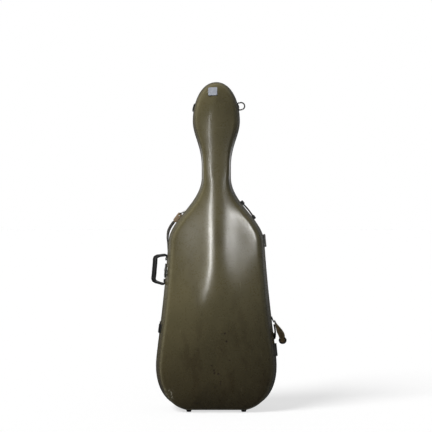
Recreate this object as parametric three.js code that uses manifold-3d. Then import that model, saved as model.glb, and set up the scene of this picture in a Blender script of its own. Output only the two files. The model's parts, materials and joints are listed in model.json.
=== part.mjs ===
// A cello hard case, closed and standing on its feet. Millimetres, +Z up. The front shell is the lid and faces -Y,
// the seam lies in one upright plane, the hinges are on the right (+X) and the locks on the left (-X).
import * as THREE from 'three';
import { mergeVertices } from 'three/addons/utils/BufferGeometryUtils.js';
import Module from 'manifold-3d';

const wasm = await Module();
wasm.setup();

// Driving dimensions

const clearance = 0.3;
const overrun = 20;
const degree = Math.PI / 180;

// Overall outline of the seam, seen from the front. Half widths are measured over the rim, and the heights of its
// widest and narrowest places are shares of the whole height. The points that pull the curve between two such places
// lie at shares of its rise.
const outline = {
  height: 1350, baseHalf: 124, lowerHalf: 248.5, upperHalf: 198, neckHalf: 60, headHalf: 97,
  lowerShare: 0.137, upperShare: 0.5111, neckShare: 0.7111, throatShare: 0.7407, headShare: 0.8815,
  cornerAcross: 80, crownAcross: 62, upperLeanShare: 0.07,
  cornerPullShares: [0.085, 0.432], flankPullShares: [0.119, 0.406], shoulderPullShares: [0.37, 0.593],
  jawPullShares: [0.474, 0.684], crownPullShare: 0.505,
};
const outlineSteps = { base: 1, corner: 5, flank: 4, shoulder: 6, neck: 1, jaw: 4, crown: 6 };

// The round between wall and crown is the corner, or a share of the way to the spine where that is less.
// Both shells: wall thickness, straight land at the seam, and the ends of the line where the crown is highest.
const shell = { wall: 3.5, edge: 2.8, land: 14, spineFootShare: 0.126, spineTopShare: 0.937 };
const levelShares = [0, 0.13, 0.335, 0.563, 0.725, 0.89, 1];
const lid = {
  sign: -1, depth: 135, draftDegrees: 15, corner: 18, cornerShare: 0.22,
  crownShares: [0.74, 0.85, 1, 0.74, 0.556, 0.533, 0.5],
  wallShares: [0.55, 0.58, 0.62, 0.52, 0.49, 0.4, 0.33],
  ridgeShares: [0, 0, 0.09, 0.105, 0.05, 0.04, 0],
};
const back = {
  sign: 1, depth: 150, draftDegrees: 4, corner: 30, cornerShare: 0.35,
  crownShares: [0.9, 1, 1, 0.93, 0.7, 0.67, 0.62],
  wallShares: [0.72, 0.74, 0.74, 0.66, 0.5, 0.46, 0.42],
  ridgeShares: [0, 0, 0, 0, 0, 0, 0],
};
// A rounded ridge runs down the middle of a crown. Its height is a share of the shell's depth, by level, and it is
// steepest at this distance from its middle.
const ridge = { spread: 46, levelShares: [0, 0.35, 0.46, 0.563, 0.725, 0.85, 1] };
const bendShares = [0.35, 0.65];
const crownRowShares = [0.3, 0.58, 0.8, 1];

const rim = { proud: 1.6, leg: 12, web: 2.2, inner: 1.8, lipGap: 1, lip: 1.8, lipReach: 5 };
const lining = { thickness: 8 };
const seal = { width: 3.3, height: 4 };

const foot = { radius: 11, height: 9, taper: 1.5, inset: 12 };
const buffer = { low: 36, high: 78, from: 16, reach: 58, proud: 5, edge: 2, steps: 4 };

const hinge = {
  upperShare: 0.517, lowerShare: 0.1837, standoff: 5.6, length: 50, barrel: 3.6, pin: 1.75, pinHead: 3,
  headHeight: 1.2, leaf: 1.6, reach: 36, knuckles: 3, crank: 2,
};
// The hinge axis is parallel to the wall between these two heights.
const bearingShares = [0.1748, 0.5111];
const lock = {
  upperShare: 0.4237, lowerShare: 0.2504, upperLength: 58, lowerLength: 50, upperDome: 8, lowerDome: 6.5,
  caseFrom: 13.5, caseTo: 38, deckTo: 23.4, deck: 3, brow: 5.6, corner: 8, channelHalf: 5.6, channelTo: 19.8,
  channelFloor: 1, pocketCentre: 30.5, pocketFloor: 3.6, bevel: 1, flankShare: 0.8,
};
const hasp = {
  axisReach: 15.5, axisHeight: 4.6, knuckle: 2.6, pin: 1.3, half: 11.4, ear: 6, plateReach: 38, plate: 2,
  tip: 21.8, tongueFrom: 15.8, tongue: 3, tongueHalf: 5, tongueFloor: 1.5, corner: 3,
};
const thumb = { length: 11, width: 5.6, proud: 2, travel: 6, bevel: 0.8 };

const handle = {
  levelShare: 0.4259, reach: 54, axisHeight: 8, stand: 65, bracketCentre: 45, bracketLength: 13, bracketWidth: 15,
  bracketCorner: 3, bore: 3.2, pin: 2.8, leg: 5.8, legHalf: 60, gripHalf: 50, legBend: 6,
  gripLength: 94, gripWidth: 20, gripThick: 20,
};
// Stations along the grip: place as a share of half its length, and size as a share of its full section.
const gripShares = [[-1, 0.6], [-0.9, 0.9], [-0.6, 1], [0.6, 1], [0.9, 0.9], [1, 0.6]];
const wireRing = {
  wire: 2, width: 27, depth: 26, bend: 3, arcSteps: 6, boss: 3.8, bossLength: 12, plate: 1.6, plateWidth: 17,
  plateLength: 26, corner: 4, play: 0.4,
};
const headRing = { wire: 2.8, boss: 4.3, width: 35, depth: 33, rightShare: 0.9274, leftShare: 0.9252, reach: 32,
  leftFoldDegrees: 76 };
const shoulderRing = { levelShare: 0.6037, reach: 26, foldDegrees: 62 };
const hipRing = { levelShare: 0.28, reach: 30, foldDegrees: 70 };

// The carry strap's route: height, angle round the back (0 is the left wall, 180 the right) and lift off the shell.
const strap = { width: 26, thickness: 4.5, centre: 26, samples: 46 };
const strapRoute = {
  levelShares: [0.563, 0.5585, 0.551, 0.5407, 0.5274, 0.5111, 0.4948, 0.4778, 0.4533, 0.4222, 0.3867, 0.3481,
    0.3096, 0.2726, 0.243, 0.2244, 0.2207, 0.2311, 0.2474, 0.2585],
  turnDegrees: [0, 0, 0, 0, 2, 4, 9, 21, 38, 57, 78, 100, 122, 142, 158, 169, 177, 180, 180, 180],
  lifts: [8.5, 8, 6.5, 4.5, 3, 2.4, 2, 2, 2, 2, 2, 2, 2, 2, 2.2, 3, 5, 9, 10, 8],
};
// The tab hangs from the shoulder ring with its face to the front; its drops are measured from the ring's pin.
const tab = { width: 19, thickness: 5, drops: [18, 29, 42], lift: 11, steps: 5 };
// The tail hangs from the hip ring; its route goes outward and down from the ring's clip while its face turns from
// the sky to the front. Its end lies flat on the buckle.
const tail = { width: 26, thickness: 4, reach: 44 };
const tailRoute = {
  outward: [16.5, 20, 26.5, 34.5, 43.5, 46.5, 50],
  down: [16, 28, 40, 54, 68, 74, 90],
  twistDegrees: [0, 12, 24, 55, 90, 90, 90],
};
const buckle = { width: 33, length: 31, thickness: 8, corner: 14, bevel: 2, aside: 1.5, drop: 7 };

const shoulderHandle = {
  levelShare: 0.6074, span: 60, reach: 30, block: 18, blockWidth: 24, proud: 14, corner: 4, bevel: 2,
  width: 20, thickness: 5, lift: 4.5, bulge: 3, steps: 6,
};
const badge = { size: 36.5, thickness: 1.2, corner: 2, across: -14.8, drop: 43.5 };

// Soft fittings inside the case
const pads = {
  gap: 0.3, round: 6,
  bottom: { half: 118, low: 16, high: 74, from: 18, to: 104 },
  hip: { width: 40, levelShare: 0.2148, tall: 108, from: 20, to: 92 },
  shoulder: { width: 43, levelShare: 0.5378, tall: 72, from: 20, to: 84 },
  cradle: { levelShare: 0.6989, tall: 37, from: 26, throat: 24 },
};
const neckStrap = { width: 24, thickness: 2.5, half: 37, rise: 24, steps: 8 };
const archShares = [[-1, 0], [-0.75, 0.6], [0, 1], [0.75, 0.6], [1, 0]];
const box = {
  half: 30, levelShare: 0.7667, tall: 98, from: 45, sole: 13, wall: 3, cover: 3, barrel: 2.4, pin: 1.1, ear: 4,
};
const bowRest = { half: 84, levelShare: 0.2963, tall: 32, height: 41, groove: 7, grooveAcross: 42, pivotAcross: 66 };
const turnButton = { length: 44, width: 12, thickness: 5, stem: 2.6, stemLength: 9, knob: 4.5, knobHeight: 3 };
const tipPocket = { half: 38, levelShare: 0.8207, tall: 56, top: 26, wall: 3, mouth: 14 };

// Facets of round pieces, by how large they show
const facets = { footSides: 20, roundSides: 12, smallSides: 8, wireSides: 6, cornerSteps: 2 };

// Materials

function finish(colour, roughness, metalness = 0) {
  return new THREE.MeshStandardMaterial({ color: colour, roughness, metalness });
}
const olive = finish(0x5b543d, 0.22);
const darkRim = finish(0x2e2c27, 0.4);
const rubber = finish(0x141414, 0.8);
const plush = finish(0x4a1420, 0.95);
const nickel = finish(0xb9b9b4, 0.3, 1);
const blackGrip = finish(0x161616, 0.45);
const webbing = finish(0x29241c, 0.8);
const leather = finish(0x8a6b46, 0.6);

// Scene

const caseGroup = new THREE.Group();
const backGroup = new THREE.Group();
const lidGroup = new THREE.Group();
caseGroup.add(backGroup, lidGroup);

function add(group, name, geometry, material, frame = new THREE.Matrix4()) {
  const local = geometry.clone().applyMatrix4(frame.clone().invert());
  const mesh = new THREE.Mesh(local, material);
  mesh.name = name;
  mesh.applyMatrix4(frame);
  group.add(mesh);
  return mesh;
}

// Geometry helpers

function indexed(points, triangles) {
  const geometry = new THREE.BufferGeometry();
  geometry.setAttribute('position', new THREE.Float32BufferAttribute(points.flatMap((p) => [p.x, p.y, p.z]), 3));
  geometry.setIndex(triangles.flat());
  return faceOut(geometry);
}

function faceOut(geometry) {
  const position = geometry.attributes.position;
  const corner = [0, 1, 2].map(() => new THREE.Vector3());
  const index = geometry.index.array;
  let volume = 0;
  for (let i = 0; i < index.length; i += 3) {
    corner.forEach((v, k) => v.fromBufferAttribute(position, index[i + k]));
    volume += corner[0].dot(corner[1].clone().cross(corner[2]));
  }
  if (volume < 0) {
    for (let i = 0; i < index.length; i += 3) [index[i], index[i + 1]] = [index[i + 1], index[i]];
  }
  return geometry;
}

function toSolid(geometry) {
  const bare = geometry.clone();
  for (const name of ['normal', 'uv']) bare.deleteAttribute(name);
  const merged = faceOut(mergeVertices(bare, 1e-4));
  return new wasm.Manifold(new wasm.Mesh({
    numProp: 3,
    vertProperties: new Float32Array(merged.attributes.position.array),
    triVerts: new Uint32Array(merged.index.array),
  }));
}

function toGeometry(solid) {
  const mesh = solid.getMesh();
  const geometry = new THREE.BufferGeometry();
  geometry.setAttribute('position', new THREE.BufferAttribute(new Float32Array(mesh.vertProperties), 3));
  geometry.setIndex(Array.from(mesh.triVerts));
  return geometry;
}

function joined(first, ...others) {
  return toGeometry(others.reduce((solid, other) => solid.add(toSolid(other)), toSolid(first)));
}

function cut(body, ...tools) {
  const solids = tools.map((tool) => (tool.isBufferGeometry ? toSolid(tool) : tool));
  return toGeometry(solids.reduce((left, tool) => left.subtract(tool), toSolid(body)));
}

function common(body, solid) {
  return toGeometry(toSolid(body).intersect(solid.isBufferGeometry ? toSolid(solid) : solid));
}

// Rings of points joined into one closed skin, with flat ends or run round into a loop.
function loft(rings, loop = false) {
  const size = rings[0].length;
  const triangles = [];
  const links = loop ? rings.length : rings.length - 1;
  for (let i = 0; i < links; i += 1) {
    const next = (i + 1) % rings.length;
    for (let k = 0; k < size; k += 1) {
      const along = (k + 1) % size;
      triangles.push([i * size + k, i * size + along, next * size + along]);
      triangles.push([i * size + k, next * size + along, next * size + k]);
    }
  }
  const last = (rings.length - 1) * size;
  for (let k = 1; !loop && k < size - 1; k += 1) {
    triangles.push([0, k + 1, k], [last, last + k, last + k + 1]);
  }
  return indexed(rings.flat(), triangles);
}

function shapeOf(points) {
  return new THREE.Shape(points.map(([x, y]) => new THREE.Vector2(x, y)));
}

function roundedRectangle(width, length, corner) {
  const shape = new THREE.Shape();
  const x = width / 2 - corner;
  const y = length / 2 - corner;
  shape.absarc(x, y, corner, 0, Math.PI / 2);
  shape.absarc(-x, y, corner, Math.PI / 2, Math.PI);
  shape.absarc(-x, -y, corner, Math.PI, Math.PI * 1.5);
  shape.absarc(x, -y, corner, Math.PI * 1.5, Math.PI * 2);
  return shape;
}

// A flat piece with rounded corners, from the height low to low + thickness above its frame's XY plane.
function plate(width, length, thickness, corner, low = 0, bevel = 0) {
  const geometry = new THREE.ExtrudeGeometry(roundedRectangle(width - 2 * bevel, length - 2 * bevel, corner), {
    depth: thickness - 2 * bevel, curveSegments: facets.cornerSteps,
    bevelEnabled: bevel > 0, bevelSize: bevel, bevelThickness: bevel, bevelSegments: 1,
  });
  return geometry.translate(0, 0, low + bevel);
}

// A profile in the frame's X and Z, run along its Y about the middle.
function alongY(points, length) {
  const geometry = new THREE.ExtrudeGeometry(shapeOf(points), { depth: length, bevelEnabled: false });
  return geometry.translate(0, 0, -length / 2).rotateX(Math.PI / 2);
}

function rodY(radius, length, count = facets.roundSides) {
  return new THREE.CylinderGeometry(radius, radius, length, count);
}

function rodZ(radius, low, high, count = facets.roundSides) {
  return rodY(radius, high - low, count).rotateX(Math.PI / 2).translate(0, 0, (low + high) / 2);
}

function block(from, to) {
  const size = to.clone().sub(from);
  const middle = from.clone().add(to).multiplyScalar(0.5);
  return new THREE.BoxGeometry(size.x, size.y, size.z).translate(middle.x, middle.y, middle.z);
}

function point(x, y, z) {
  return new THREE.Vector3(x, y, z);
}

// A round wire along points of a frame's Y and Z, mitred at the corners.
function wire(path, radius, count, loop = false) {
  const rings = path.map((p, i) => {
    const before = loop ? path.at(i - 1) : path[Math.max(i - 1, 0)];
    const after = loop ? path[(i + 1) % path.length] : path[Math.min(i + 1, path.length - 1)];
    const arriving = p.clone().sub(before).normalize();
    const leaving = after.clone().sub(p).normalize();
    const tangent = arriving.clone().add(leaving).normalize();
    const mitre = 1 / Math.max(tangent.dot(leaving), tangent.dot(arriving));
    const across = new THREE.Vector2(-tangent.y, tangent.x).multiplyScalar(radius * mitre);
    return Array.from({ length: count }, (_, k) => {
      const angle = (k + 0.5) * 2 * Math.PI / count;
      const aside = Math.cos(angle);
      return point(radius * Math.sin(angle), p.x + across.x * aside, p.y + across.y * aside);
    });
  });
  return loft(rings, loop);
}

// A smooth value through shares of a size at given levels.
function through(levels, values, level) {
  const last = levels.length - 1;
  const at = THREE.MathUtils.clamp(level, levels[0], levels[last]);
  const i = Math.min(Math.max(levels.findIndex((l) => l > at) - 1, 0), last - 1);
  const k = levels[last] <= at ? last - 1 : i;
  const span = levels[k + 1] - levels[k];
  const slope = (j) => {
    const low = Math.max(j - 1, 0);
    const high = Math.min(j + 1, last);
    return (values[high] - values[low]) / (levels[high] - levels[low]);
  };
  const t = (at - levels[k]) / span;
  const ease = t * t * (3 - 2 * t);
  return values[k] * (1 - ease) + values[k + 1] * ease
    + span * t * (1 - t) * (slope(k) * (1 - t) - slope(k + 1) * t);
}

// Outline

function levelAt(share) {
  return share * outline.height;
}

// The lowest and highest level of a piece that is centred at a share of the height.
function levelsOf(piece) {
  const middle = levelAt(piece.levelShare);
  return [middle - piece.tall / 2, middle + piece.tall / 2];
}

function outlineSpans() {
  const o = outline;
  const base = foot.height;
  const top = o.height - rim.proud;
  const [lower, upper, neck, throat, head] = [o.lowerShare, o.upperShare, o.neckShare, o.throatShare, o.headShare]
    .map(levelAt);
  const at = (half, level) => new THREE.Vector2(half - rim.proud, level);
  const leaning = (level) => at(o.upperHalf + (upper - level) * o.upperLeanShare, level);
  const between = (from, to, shares) => shares.map((share) => THREE.MathUtils.lerp(from, to, share));
  const corner = between(base, lower, o.cornerPullShares);
  const flank = between(lower, upper, o.flankPullShares);
  const shoulder = between(upper, neck, o.shoulderPullShares);
  const jaw = between(throat, head, o.jawPullShares);
  const crown = THREE.MathUtils.lerp(head, top, o.crownPullShare);
  const cubic = (...points) => new THREE.CubicBezierCurve(...points);
  const line = (from, to) => new THREE.LineCurve(from, to);
  const underside = at(o.baseHalf, base);
  const hip = at(o.lowerHalf, lower);
  const chest = at(o.upperHalf, upper);
  const nape = at(o.neckHalf, neck);
  const neckTop = at(o.neckHalf, throat);
  const temple = at(o.headHalf, head);
  const summit = new THREE.Vector2(0, top);
  return [
    [line(new THREE.Vector2(0, base), underside), outlineSteps.base],
    [cubic(underside, at(o.baseHalf + o.cornerAcross, corner[0]), at(o.lowerHalf, corner[1]), hip),
      outlineSteps.corner],
    [cubic(hip, at(o.lowerHalf, flank[0]), leaning(flank[1]), chest), outlineSteps.flank],
    [cubic(chest, leaning(shoulder[0]), at(o.neckHalf, shoulder[1]), nape), outlineSteps.shoulder],
    [line(nape, neckTop), outlineSteps.neck],
    [cubic(neckTop, at(o.neckHalf, jaw[0]), at(o.headHalf, jaw[1]), temple), outlineSteps.jaw],
    [cubic(temple, at(o.headHalf, crown), at(o.crownAcross, top), summit), outlineSteps.crown],
  ];
}

function outlineColumns() {
  const right = [];
  for (const [curve, steps] of outlineSpans()) {
    for (let i = 0; i < steps; i += 1) right.push(curve.getPoint(i / steps));
  }
  right.push(new THREE.Vector2(0, outline.height - rim.proud));
  const left = right.slice(1, -1).reverse().map((p) => new THREE.Vector2(-p.x, p.y));
  const points = [...right, ...left];
  return points.map((p, i) => {
    const outward = [points.at(i - 1), points[(i + 1) % points.length]].map((q, k) => {
      const chord = k === 0 ? p.clone().sub(q) : q.clone().sub(p);
      return new THREE.Vector2(chord.y, -chord.x).normalize();
    });
    return { x: p.x, z: p.y, normal: outward[0].add(outward[1]).normalize() };
  });
}

const columns = outlineColumns();
const topColumn = columns.length / 2;

// How far the drafted wall has moved in at a distance from the seam; the underside stays level.
function draftInset(half, reach, normal) {
  const level = 1 - Math.max(0, -normal.y) ** 3;
  return Math.max(0, reach - shell.land) * Math.tan(half.draftDegrees * degree) * level;
}

function depthAt(half, shares, level) {
  return half.depth * through(levelShares, shares, level / outline.height);
}

// Shells

function shellSection(half, column) {
  const wall = depthAt(half, half.wallShares, column.z);
  const spineLevel = THREE.MathUtils.mapLinear(column.z, foot.height, outline.height, levelAt(shell.spineFootShare),
    levelAt(shell.spineTopShare));
  const crown = depthAt(half, half.crownShares, spineLevel);
  const onWall = (reach) => {
    const inset = draftInset(half, reach, column.normal);
    return point(column.x - column.normal.x * inset, half.sign * reach, column.z - column.normal.y * inset);
  };
  const edge = onWall(wall);
  const rise = half.depth * Math.max(0, through(ridge.levelShares, half.ridgeShares, spineLevel / outline.height));
  const ridgeFall = (aside) => rise * (1 - Math.exp(-((aside / ridge.spread) ** 2) / 2));
  const bowFall = crown - wall - ridgeFall(edge.x);
  const onCrown = (t) => point(edge.x * (1 - t),
    half.sign * (crown - ridgeFall(edge.x * (1 - t)) - bowFall * (1 - t) ** 2),
    THREE.MathUtils.lerp(edge.z, spineLevel, t));
  const across = Math.hypot(edge.x, edge.z - spineLevel);
  const corner = Math.min(half.corner, half.cornerShare * across);
  const start = onWall(wall - corner);
  const turn = corner / across;
  const end = onCrown(turn);
  const bend = new THREE.QuadraticBezierCurve3(start, edge, end);
  return [onWall(shell.edge), onWall(shell.land), start, ...bendShares.map((t) => bend.getPoint(t)), end,
    ...crownRowShares.map((share) => onCrown(THREE.MathUtils.lerp(turn, 1, share)))];
}

// The outer surface of one shell as points, triangles and point normals; mirrored columns share the spine points.
function shellSurface(half) {
  const points = [];
  const rows = columns.map(() => []);
  columns.forEach((column, i) => {
    const section = shellSection(half, column);
    const twin = (columns.length - i) % columns.length;
    section.forEach((p, r) => {
      if (r === section.length - 1 && twin < i) rows[i][r] = rows[twin][r];
      else rows[i][r] = points.push(p) - 1;
    });
  });
  const normals = points.map(() => new THREE.Vector3());
  for (const face of surfaceFaces(half, rows, 0)) {
    const [a, b, c] = face.map((k) => points[k]);
    const area = b.clone().sub(a).cross(c.clone().sub(a));
    face.forEach((k) => normals[k].add(area));
  }
  normals.forEach((n) => n.normalize());
  return { half, points, rows, normals };
}

function surfaceFaces(half, rows, firstRow) {
  const faces = [];
  rows.forEach((row, i) => {
    const next = rows[(i + 1) % rows.length];
    for (let r = firstRow; r < row.length - 1; r += 1) {
      for (const face of [[row[r], next[r], next[r + 1]], [row[r], next[r + 1], row[r + 1]]]) {
        if (new Set(face).size === 3) faces.push(half.sign < 0 ? face : face.toReversed());
      }
    }
  });
  return faces;
}

// The same surface without the rows at the seam's edge and at both ends of the round, for the soft lining.
function coarser(surface) {
  const dropped = [0, 2, 3 + bendShares.length];
  return { ...surface, rows: surface.rows.map((row) => row.filter((_, r) => !dropped.includes(r))) };
}

function offsetPoints(surface, inward) {
  return surface.points.map((p, k) => p.clone().addScaledVector(surface.normals[k], -inward));
}

function compact(points, faces) {
  const used = [...new Set(faces.flat())];
  const place = new Map(used.map((k, i) => [k, i]));
  return indexed(used.map((k) => points[k]), faces.map((face) => face.map((k) => place.get(k))));
}

// The wall between two depths below a shell's outer surface.
function shellWall(surface, near, far, firstRow = 0) {
  const count = surface.points.length;
  const outer = surfaceFaces(surface.half, surface.rows, firstRow);
  const inner = outer.map((face) => face.map((k) => k + count).reverse());
  const band = surface.rows.flatMap((row, i) => {
    const a = row[firstRow];
    const b = surface.rows[(i + 1) % surface.rows.length][firstRow];
    const faces = [[b, a, a + count], [b, a + count, b + count]];
    return surface.half.sign < 0 ? faces : faces.map((face) => face.reverse());
  });
  return compact([...offsetPoints(surface, near), ...offsetPoints(surface, far)], [...outer, ...inner, ...band]);
}

// Everything inside a surface that lies below a shell's outer surface, closed by a lid at one row.
function shellFill(surface, depth, firstRow) {
  const points = offsetPoints(surface, depth);
  const mouth = surface.rows.map((row) => row[firstRow]);
  const contour = mouth.map((k) => new THREE.Vector2(points[k].x, points[k].z));
  const cover = THREE.ShapeUtils.triangulateShape(contour, []).map((face) => face.map((k) => mouth[k]));
  const across = cover.map((face) => (surface.half.sign < 0 ? face.toReversed() : face));
  return toSolid(compact(points, [...surfaceFaces(surface.half, surface.rows, firstRow), ...across]));
}

const lidSurface = shellSurface(lid);
const backSurface = shellSurface(back);
const lidSoft = coarser(lidSurface);
const backSoft = coarser(backSurface);
const liningInside = shell.wall + clearance + lining.thickness + pads.gap;
const lidOutside = shellFill(lidSurface, -clearance, 0);
const backOutside = shellFill(backSurface, -clearance, 0);
const lidInside = shellFill(lidSoft, liningInside, 0);
const backInside = shellFill(backSoft, liningInside, 0);

// A section in depth below the outline and distance from the seam, run round the whole outline.
function roundSeam(section) {
  return loft(columns.map(({ x, z, normal }) => section
    .map(([depth, y]) => point(x - normal.x * depth, y, z - normal.y * depth))), true);
}

function rimSection(half) {
  const inside = shell.wall + clearance;
  const s = half.sign;
  const near = s * clearance;
  const web = s * (clearance + rim.web);
  const end = s * rim.leg;
  return [[-rim.proud, near], [inside + rim.inner, near], [inside + rim.inner, end], [inside, end], [inside, web],
    [-clearance, web], [-clearance, end], [-rim.proud, end]];
}

function backRimSection() {
  const plain = rimSection(back);
  const lipOuter = plain[1][0] + rim.lipGap;
  const lipInner = lipOuter + rim.lip;
  const web = clearance + rim.web;
  return [plain[0], [lipOuter, clearance], [lipOuter, -rim.lipReach], [lipInner, -rim.lipReach], [lipInner, web],
    [plain[2][0], web], ...plain.slice(2)];
}

function addShells() {
  const liningNear = shell.wall + clearance;
  add(backGroup, 'back_shell', shellWall(backSurface, 0, shell.wall), olive);
  add(backGroup, 'back_lining', shellWall(backSoft, liningNear, liningNear + lining.thickness), plush);
  add(backGroup, 'back_rim', roundSeam(backRimSection()), darkRim);
  add(lidGroup, 'front_shell', shellWall(lidSurface, 0, shell.wall), olive);
  add(lidGroup, 'front_lining', shellWall(lidSoft, liningNear, liningNear + lining.thickness), plush);
  add(lidGroup, 'front_rim', roundSeam(rimSection(lid)), darkRim);
  const sealFrom = liningNear + rim.inner + clearance;
  const sealNear = -(rim.lipReach + clearance);
  add(lidGroup, 'rim_seal', roundSeam([[sealFrom, sealNear], [sealFrom + seal.width, sealNear],
    [sealFrom + seal.width, sealNear - seal.height], [sealFrom, sealNear - seal.height]]), rubber);
}

// A frame on the outside of a wall: X runs toward the back of the case, Z points out, Y runs along the wall.
// side is 1 on the right and -1 on the left; reach is the distance from the seam, negative on the lid.
function wallFrame(side, level, reach) {
  const upper = columns.slice(0, topColumn + 1).findIndex((c) => c.z > level);
  const [low, high] = [columns[upper - 1], columns[upper]];
  const t = (level - low.z) / (high.z - low.z);
  const half = reach < 0 ? lid : back;
  const normal = low.normal.clone().lerp(high.normal, t);
  const inset = draftInset(half, Math.abs(reach), normal);
  const chord = new THREE.Vector2(high.z - low.z, low.x - high.x).normalize();
  const tilt = Math.abs(reach) > shell.land ? half.draftDegrees * degree : 0;
  const out = point(side * chord.x * Math.cos(tilt), half.sign * Math.sin(tilt), chord.y * Math.cos(tilt));
  const along = out.clone().cross(point(0, 1, 0)).normalize();
  const across = along.clone().cross(out);
  const fromMiddle = THREE.MathUtils.lerp(low.x, high.x, t) - normal.x * inset;
  const origin = point(side * fromMiddle, reach, level - normal.y * inset);
  return new THREE.Matrix4().makeBasis(across, along, out).setPosition(origin);
}

function moved(frame, x, y, z) {
  return frame.clone().multiply(new THREE.Matrix4().makeTranslation(x, y, z));
}

function turned(frame, axis, angleDegrees) {
  return frame.clone().multiply(new THREE.Matrix4().makeRotationAxis(axis, angleDegrees * degree));
}

const alongAxis = point(0, 1, 0);
const outAxis = point(0, 0, 1);

// Puts a piece modelled in a frame into the case and trims it to the outside of a shell, so that it seats there.
function seated(geometry, frame, outside) {
  return cut(geometry.clone().applyMatrix4(frame), outside);
}

// Hinges

function hingeAxisFrame(level) {
  const corners = bearingShares.map((share) => {
    const wall = wallFrame(1, levelAt(share), 0);
    return point(0, 0, hinge.standoff).applyMatrix4(wall);
  });
  const along = corners[1].clone().sub(corners[0]).normalize();
  const out = point(0, 1, 0).cross(along).negate();
  const t = (level - corners[0].z) / (corners[1].z - corners[0].z);
  const origin = corners[0].clone().lerp(corners[1], t);
  return new THREE.Matrix4().makeBasis(point(0, 1, 0), along, out.negate()).setPosition(origin);
}

// The leaf runs from the barrel over the rim, steps down behind it and lies along the drafted wall.
function hingeLeaf(half) {
  const s = half.sign;
  const under = -hinge.standoff + rim.proud + clearance;
  const stepDown = rim.leg + hinge.crank;
  const heel = -hinge.standoff - (hinge.reach - stepDown) * Math.tan(half.draftDegrees * degree) - hinge.leaf;
  const low = -hinge.standoff - hinge.leaf;
  const top = under + hinge.leaf;
  const rise = heel + 2 * hinge.leaf + clearance;
  const profile = [[0, under], [s * (rim.leg + clearance), under], [s * stepDown, low], [s * hinge.reach, heel],
    [s * hinge.reach, rise], [s * (stepDown + hinge.leaf), top], [0, top]];
  return alongY(profile, hinge.length);
}

function addHinge(place, level) {
  const frame = hingeAxisFrame(level);
  const share = hinge.length / hinge.knuckles;
  const knuckle = (k, radius, gap) => rodY(radius, share - gap).translate(0, (k - 1) * share, 0);
  const bore = rodY(hinge.pin + clearance, hinge.length + 2 * overrun, facets.smallSides);
  for (const half of [back, lid]) {
    const own = half === back ? [0, 2] : [1];
    const other = [0, 1, 2].filter((k) => !own.includes(k));
    let leaf = hingeLeaf(half);
    leaf = cut(leaf, ...other.map((k) => knuckle(k, hinge.barrel + clearance, -clearance)));
    leaf = joined(leaf, ...own.map((k) => knuckle(k, hinge.barrel, clearance)));
    leaf = cut(leaf, bore);
    const outside = half === back ? backOutside : lidOutside;
    const group = half === back ? backGroup : lidGroup;
    const name = half === back ? 'back' : 'lid';
    add(group, `hinge_leaf_${name}_${place}`, seated(leaf, frame, outside), nickel, frame);
  }
  const head = rodY(hinge.pinHead, hinge.headHeight);
  const headAt = hinge.length / 2 + clearance + hinge.headHeight / 2;
  const pin = joined(rodY(hinge.pin, hinge.length + 2 * (clearance + hinge.headHeight)),
    head.clone().translate(0, headAt, 0), head.clone().translate(0, -headAt, 0));
  add(backGroup, `hinge_pin_${place}`, pin.applyMatrix4(frame), nickel, frame);
}

// Locks

function lockCase(length, dome) {
  const k = lock;
  const profile = [[k.caseFrom, -k.deck], [k.caseTo, -k.deck], [k.caseTo, k.deck],
    [k.caseTo - k.deck, dome * k.flankShare], [k.pocketCentre + k.bevel, dome], [k.pocketCentre - k.deck, dome],
    [k.deckTo, k.brow], [k.deckTo, k.deck], [k.caseFrom + k.bevel, k.deck], [k.caseFrom, k.deck - k.bevel]];
  const middle = (k.caseFrom + k.caseTo) / 2;
  const plan = plate(k.caseTo - k.caseFrom, length, 2 * overrun, k.corner, -overrun).translate(middle, 0, 0);
  const channel = block(point(k.caseFrom - overrun, -k.channelHalf, k.channelFloor),
    point(k.channelTo, k.channelHalf, overrun));
  const pocketHalf = (thumb.length + thumb.travel) / 2 + clearance;
  const pocketWidth = thumb.width / 2 + clearance;
  const pocket = block(point(k.pocketCentre - pocketWidth, -pocketHalf, k.pocketFloor),
    point(k.pocketCentre + pocketWidth, pocketHalf, overrun));
  return cut(common(alongY(profile, length), plan), channel, pocket);
}

function haspPlate() {
  const h = hasp;
  const slope = Math.tan(lid.draftDegrees * degree);
  const drop = (reach) => -(reach - shell.land) * slope;
  const earLow = h.axisHeight - h.knuckle;
  const start = h.axisReach - h.knuckle / 2;
  const leafTop = (reach) => drop(reach) + clearance + h.plate;
  const profile = [[-start, drop(h.plateReach)], [-h.plateReach, drop(h.plateReach) - h.plate],
    [-h.plateReach, leafTop(h.plateReach)], [-h.axisReach - h.knuckle, leafTop(h.axisReach + h.knuckle)],
    [-h.axisReach, h.axisHeight], [-start, earLow]];
  const width = 2 * (h.half + h.ear);
  const middle = -(start + h.plateReach) / 2;
  const plan = plate(h.plateReach - start, width, 2 * overrun, h.corner, -overrun).translate(middle, 0, 0);
  const barrel = rodY(h.knuckle, width).translate(-h.axisReach, 0, h.axisHeight);
  const room = rodY(h.knuckle + clearance, 2 * (h.half + clearance)).translate(-h.axisReach, 0, h.axisHeight);
  const pin = rodY(h.pin, width).translate(-h.axisReach, 0, h.axisHeight);
  const body = cut(joined(common(alongY(profile, width), plan), barrel), room);
  return joined(body, pin);
}

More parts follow.
